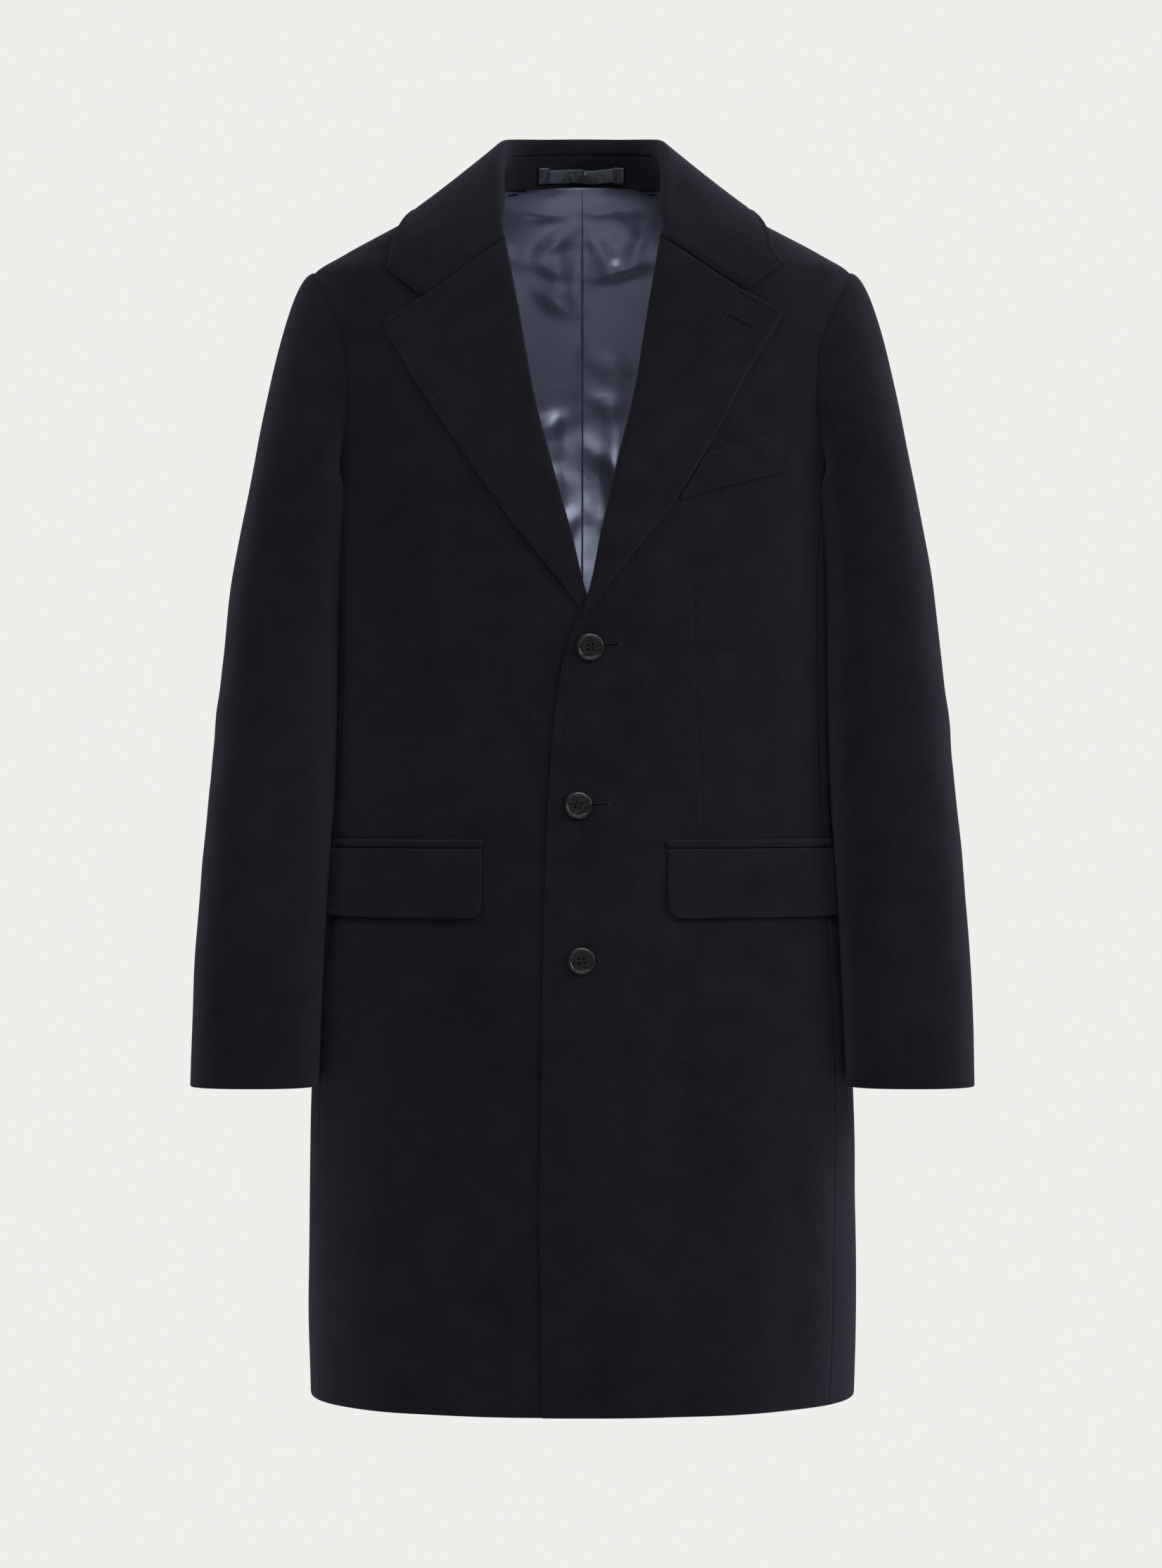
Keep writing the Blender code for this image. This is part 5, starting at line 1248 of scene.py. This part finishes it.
def stitchesAlong(line, normals, run, spacing, length, rise, sink, limits=(0.0, 9.0)):
    paths = []
    random = np.random.default_rng(int(spacing * 1e6))
    first, last = max(limits[0], run[0]), min(limits[1], run[-1])
    for k in range(math.ceil(first / spacing), math.floor(last / spacing)):
        size = length * random.uniform(0.88, 1.12)
        t = np.linspace(0, 1, 5)
        at = (k + 0.5) * spacing + size * (t - 0.5)
        path = np.stack([np.interp(at, run, line[:, j]) for j in range(3)], axis=-1)
        up = unit(np.stack([np.interp(at, run, normals[:, j]) for j in range(3)], axis=-1))
        paths.append(path + up * (sink + (rise - sink) * np.sin(np.pi * t)**0.7)[:, None])
    return paths


frontButtons = [(0.0061, -0.3789, 8), (-0.0031, -0.5030, -14), (-0.0007, -0.6239, 5)]     # x, z, spin
sleeveButtons = {"lowZ": -0.6870, "step": 0.0125, "tilt": 15.0, "turnBack": 26.0, "spin": 11}


def sewnButton(name, node, kind, spot, facing, spin):
    size = buttonSizes[kind]
    button = turnedButton(name, size)
    boltDown(button, spot, facing, math.radians(spin))
    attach(button, "root")
    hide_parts(node)
    bars = threadMesh(name + ".thread", threadBars(size), size["radius"] * buttonCut["thread"], "thread", 6)
    boltDown(bars, spot, facing, math.radians(spin))


for number, (x, z, spin) in enumerate(frontButtons, 1):
    sewnButton(f"frontButton.{number}", f"button_front_{number}", "large", onFront("left", x, z, coat["restGap"]),
               frontNormal("left", x, z), spin)

for side in signOf:
    tilt = math.radians(sleeveButtons["tilt"])
    for number in range(4):
        down = armShare(sleeveButtons["lowZ"] + number * sleeveButtons["step"])
        turn = blendTo(sleeveCut["hindarm"][0], sleeveCut["hindarm"][1], 1 - down / 2) - sleeveButtons["turnBack"]
        normal = sleeveNormal(turn, down)
        facing = unit(normal * math.cos(tilt) - np.array([0, 0, 1]) * math.sin(tilt))
        spot = sleevePoint(turn, down) + normal * (coat["restGap"] + buttonSizes["small"]["radius"] * math.sin(tilt))
        if side == "right":
            spot, facing = mirrored(spot), mirrored(facing)
        sewnButton(f"sleeveButton.{side}.{number + 1}", f"button_sleeve_{side}_{number + 1}", "small", spot, facing,
                   sleeveButtons["spin"] * number)
print("buttons drawn")


# a buttonhole is a slit closed by tight thread, rounded at one end, with a bar at the other
holeCut = {"halfWide": 0.00055, "thread": 0.00024, "step": 0.00048, "bite": 0.0008}
buttonholes = {   # both ends of the slit as (x, z), lift over the left front, size of the eye
    "1": ([(0.0290, -0.3770), (0.0155, -0.3775)], 0.0, 0.0),
    "2": ([(0.0205, -0.5020), (0.0070, -0.5026)], 0.0, 0.0),
    "3": ([(0.0130, -0.6236), (0.0085, -0.6238)], 0.0, 0.0),
    "lapel": ([(0.1138, -0.1159), (0.1317, -0.1253)], lapelRoll["lift"] + 0.0002, 0.0013),
}


def frontSeat(points, lift, rises):
    # points given as (x, z) lie on the cloth of the left front, raised as told
    x, z = np.array(points).T
    return onFront("left", x, z, lift) + times(frontNormal("left", x, z), rises)


def drawButtonhole(name, spots, lift, eye):
    start, end = (np.array(p) for p in spots)
    run = end - start
    long = np.linalg.norm(run)
    run = run / long
    across = np.array([-run[1], run[0]])
    halfWide, step = holeCut["halfWide"], holeCut["step"]
    outline = [(start + run * t + across * halfWide, across) for t in np.arange(0, long, step)]
    if eye:
        for a in np.linspace(2.5, -2.5, 24):
            way = run * np.cos(a) + across * np.sin(a)
            outline.append((end + run * eye + way * eye, way))
    outline += [(start + run * t - across * halfWide, -across) for t in np.arange(long, 0, -step)]
    random = np.random.default_rng(len(name))
    paths = []
    for spot, way in outline:
        wide = holeCut["bite"] * random.uniform(0.85, 1.15)
        flat = [spot - way * wide * 0.12, spot - way * wide * 0.02, spot + way * wide * 0.4, spot + way * wide]
        paths.append(frontSeat(flat, lift, [0.0000, 0.00042, 0.00040, -0.00020]))
    for t in np.linspace(-0.0008, 0.0008, 7):
        flat = [start + run * (t - 0.0005) + across * (halfWide + 0.0007) * v for v in (-1, -0.6, 0.6, 1)]
        paths.append(frontSeat(flat, lift, [-0.0002, 0.0005, 0.0005, -0.0002]))
    threadMesh(name, paths, holeCut["thread"], "holeThread")
    # painted shade: a near-black bar along the slit and a near-black disc in the eye stand for the shade inside the
    # opening
    holeShadow = [start + run * t for t in np.linspace(0.0003, long, 12)]
    threadMesh(name + ".holeShadow", [frontSeat(holeShadow, lift, 0.0001)], halfWide * 0.95, "holeShadow", 6)
    if eye:
        spots = [end + run * eye * t for t in (0.55, 1.0, 1.45)]
        threadMesh(name + ".eye", [frontSeat(spots, lift, -0.0004)], eye * 0.85, "holeShadow", 10)


for place, (spots, lift, eye) in buttonholes.items():
    drawButtonhole("buttonhole." + place, spots, lift, eye)


# the hanger loop is a ribbon across the stand, tacked at both ends
loopCut = {"half": 0.0288, "top": 0.40, "foot": 0.83, "rest": 0.0011, "bow": 0.0024, "round": 0.0007,
           "creases": [(0.16, 0.30, 0.060, 0.0013), (0.02, -0.26, 0.055, -0.0009), (-0.30, 0.34, 0.080, 0.0009),
                       (0.48, -0.30, 0.075, 0.0009), (-0.56, -0.22, 0.070, -0.0006), (0.74, 0.24, 0.060, 0.0005)],
           "tabs": {"right": (-0.0380, -0.0296), "left": (0.0280, 0.0362)}}
standPlaces, standShares = np.linspace(0, 2.4, 70), np.linspace(0, 1, 15)
standTable = np.array([standPoints(place, standShares)[0] for place in standPlaces])


def onStand(x, shares):
    # points of the stand at this x, and the way out from the neck
    rows = np.array([[np.interp(shares, standShares, row[:, k]) for k in range(3)] for row in standTable])
    count = range(len(shares))
    place = np.array([np.interp(abs(x), rows[:, 0, j], standPlaces) for j in count])
    points = np.array([[x] + [np.interp(place[j], standPlaces, rows[:, k, j]) for k in (1, 2)] for j in count])
    out = standPoints(float(place.mean()), [0.5])[1] * np.array([-1 if x < 0 else 1, 1, 1])
    return points, out


def ribbonWall(name, columns, thick, nodes):
    # columns: points on the stand, the way out, how far the ribbon stands off
    outer = np.array([points - out * (bow + thick)[:, None] for points, out, bow in columns])
    inner = np.array([points - out * bow[:, None] for points, out, bow in columns])
    clothWall(name, outer, inner, "ribbon", nodes)


def drawLoop():
    heights, columns = np.linspace(0, 1, 11), []
    for t in np.linspace(-1, 1, 81):
        sag = 0.07 * (1 - t * t) + 0.02 * np.sin(5 * t)
        pinch = sum(deep * np.exp(-((t - at + slope * heights) / wide)**2)
                    for at, slope, wide, deep in loopCut["creases"])
        bow = (loopCut["rest"] + loopCut["bow"] * (1 - t**4) + loopCut["round"] * np.sin(np.pi * heights) * (1 - t * t)
               - pinch * (1 - t * t))
        columns.append((*onStand(loopCut["half"] * t, blendTo(loopCut["top"], loopCut["foot"], heights) + sag), bow))
    ribbonWall("hangerRibbon", columns, coat["satin"] * 0.8, ["hanger_loop"])
    for name, (start, end) in loopCut["tabs"].items():
        columns = []
        for t in np.linspace(0, 1, 15):
            bow = 0.0019 + 0.0007 * np.sin(np.pi * t)**0.6 + 0.00025 * np.sin(9 * t + 5 * heights)
            shares = blendTo(loopCut["top"] - 0.05, loopCut["foot"] + 0.03, heights)
            columns.append((*onStand(blendTo(start, end, t), shares), bow))
        ribbonWall("ribbonTab." + name, columns, 0.0008, [])
        paths = []
        for edge in ("start", "end"):
            paths += stitchesAlong(*insetLine("ribbonTab." + name, edge, 0.0012), 0.0016, 0.0011, 0.00020, -0.00025)
        threadMesh("tabStitches." + name, paths, 0.00016, "thread")


drawLoop()
print("buttonholes and loop drawn")


def drawStitches(name, runs, radius=0.00020, paint="thread"):
    # runs: piece, edge, inset, spacing, length, rise, sink, limits along the edge
    paths = []
    for piece, edge, inset, *stitch in runs:
        paths += stitchesAlong(*insetLine(piece, edge, inset), *stitch)
    threadMesh(name, paths, radius, paint)
    print(name, len(paths), "stitches")


pick = (0.0020, -0.00005, -0.00060)     # length, rise, sink: they lie low in the nap
shortPick = (0.0018, *pick[1:])
drawStitches("pickStitches.lapels", [
    (f"woolLapel.{side}", edge, 0.0068, 0.0060, *pick, limits)
    for side in signOf for edge, limits in (("end", (0.007, 0.335)), ("high", (0.007, 0.034)))])
drawStitches("pickStitches.collar", [("woolCollar", "start", 0.0068, 0.0060, *pick, (0.007, 0.60))])
drawStitches("pickStitches.fronts", [
    ("woolFront.left", "start", 0.0074, 0.0062, *pick, (0.006, 0.622)),
    ("woolFront.left", "low", 0.0052, 0.0068, *pick, (0.006, 0.30)),
    ("woolFront.right", "low", 0.0052, 0.0068, *pick, (0.030, 0.30))])
drawStitches("pickStitches.pockets", [
    *((f"woolFlap.{side}", "high", 0.0074, 0.0049, *shortPick, (0.007, 0.16)) for side in signOf),
    ("woolWelt", "low", 0.0060, 0.0052, *shortPick, (0.004, 0.080))])

# the fine row along each dart
for side in signOf:
    face = surfaces["woolFront." + side]
    column, rows = face["dart"] - 1, np.arange(face["outer"].shape[0], dtype=float)
    point, normal = surfaceAt("woolFront." + side, rows, np.full(len(rows), float(column)))
    live = (point[:, 2] < dart[side]["top"][1] - 0.012) & (point[:, 2] > dart[side]["foot"][1] + 0.003)
    paths = stitchesAlong(point[live], normal[live], face["low"][live, column], 0.0034, 0.0018, -0.00012, -0.0005)
    threadMesh("dartStitches." + side, paths, 0.00016, "thread")

# the rows beside the neck seam, on the stand and inside the fall
drawStitches("neckStitches", [
    ("woolStand", "start", 0.0022, 0.0026, 0.0017, 0.00010, -0.00030, (0.004, 0.5)),
    ("woolCollar", "end", 0.0026, 0.0026, 0.0017, 0.00010, -0.00030, (0.10, 0.50))], 0.00019, "holeThread")
print("stitches drawn")


def linked(name, data, place, turn):
    thing = bpy.data.objects.new(name, data)
    thing.location, thing.rotation_euler = place, turn
    bpy.context.scene.collection.objects.link(thing)
    return thing


cameraSpot = {"x": -0.0011, "away": 3.8, "z": -0.486, "metresPerPixel": 0.00057, "pixelsHigh": 2230, "sensor": 36.0}
camera = bpy.data.cameras.new("mainCamera")
camera.sensor_fit = "VERTICAL"
camera.sensor_height = cameraSpot["sensor"]
camera.lens = cameraSpot["sensor"] * cameraSpot["away"] / (cameraSpot["pixelsHigh"] * cameraSpot["metresPerPixel"])
bpy.context.scene.camera = linked("mainCamera", camera, (cameraSpot["x"], -cameraSpot["away"], cameraSpot["z"]),
                                  (math.pi / 2, 0, 0))

# plain pale sky and floor, seen bright by the camera alone
studio = {"pale": (0.863, 0.855, 0.838), "skyStrength": 1.0, "skyLight": 0.25, "floorZ": -1.45, "floorHalf": 9.0,
          "floor": (0.82, 0.815, 0.80), "floorRough": 0.9, "aim": (0, 0, -0.45)}
bpy.context.scene.view_settings.view_transform = "Standard"
sky = bpy.data.worlds.new("paleSky")
bpy.context.scene.world = sky
sky.use_nodes = True
seen = addNode(sky.node_tree, "ShaderNodeLightPath").outputs["Is Camera Ray"]
strength = rangeNode(sky.node_tree, seen, 0.0, 1.0, studio["skyLight"], studio["skyStrength"], smooth=False)
feed(sky.node_tree, sky.node_tree.nodes["Background"], Color=(*studio["pale"], 1), Strength=strength)

bpy.ops.mesh.primitive_circle_add(vertices=64, radius=studio["floorHalf"], fill_type="NGON",
                                  location=(0, 0, studio["floorZ"]))
floor = bpy.context.object
floor.name = "studioFloor"
paint, tree, shader, place = newPaint("paleFloor")
feed(tree, shader, Base_Color=(*studio["floor"], 1), Roughness=studio["floorRough"])
glow = addNode(tree, "ShaderNodeEmission", Color=(*studio["pale"], 1), Strength=studio["skyStrength"]).outputs[0]
far = addNode(tree, "ShaderNodeVectorMath", {"operation": "LENGTH"}, i0=place).outputs["Value"]
seen = product(tree, rangeNode(tree, far, 0.5, 1.8, 0.55, 1.0),
               addNode(tree, "ShaderNodeLightPath").outputs["Is Camera Ray"])
mixed = addNode(tree, "ShaderNodeMixShader", i0=seen, i1=shader.outputs[0], i2=glow).outputs[0]
feed(tree, tree.nodes["Material Output"], i0=mixed)
floor.data.materials.append(paint)

lights = [   # name, place, size, power, colour
    ("frontLight", (0.3, -3.7, 1.45), 1.5, 40, (1.0, 0.99, 0.98)),
    ("keyLight", (-1.6, -1.9, 2.3), 1.6, 28, (1.0, 0.99, 0.98)),
    ("fillLight", (2.7, -1.9, 1.0), 2.0, 66, (0.98, 0.98, 1.0)),
    ("rimLeft", (-2.2, 1.2, 0.6), 1.6, 8, (0.95, 0.94, 1.0)),
    ("rimRight", (2.2, 1.0, 0.6), 1.6, 12, (0.95, 0.94, 1.0)),
    ("backLight", (0.4, 3.4, 1.4), 1.8, 34, (0.97, 0.97, 1.0)),
]
for name, place, size, power, colour in lights:
    light = bpy.data.lights.new(name, "AREA")
    light.energy, light.size, light.color = power, size, colour
    linked(name, light, place, (Vector(studio["aim"]) - Vector(place)).to_track_quat("-Z", "Y").to_euler())
print("studio ready")
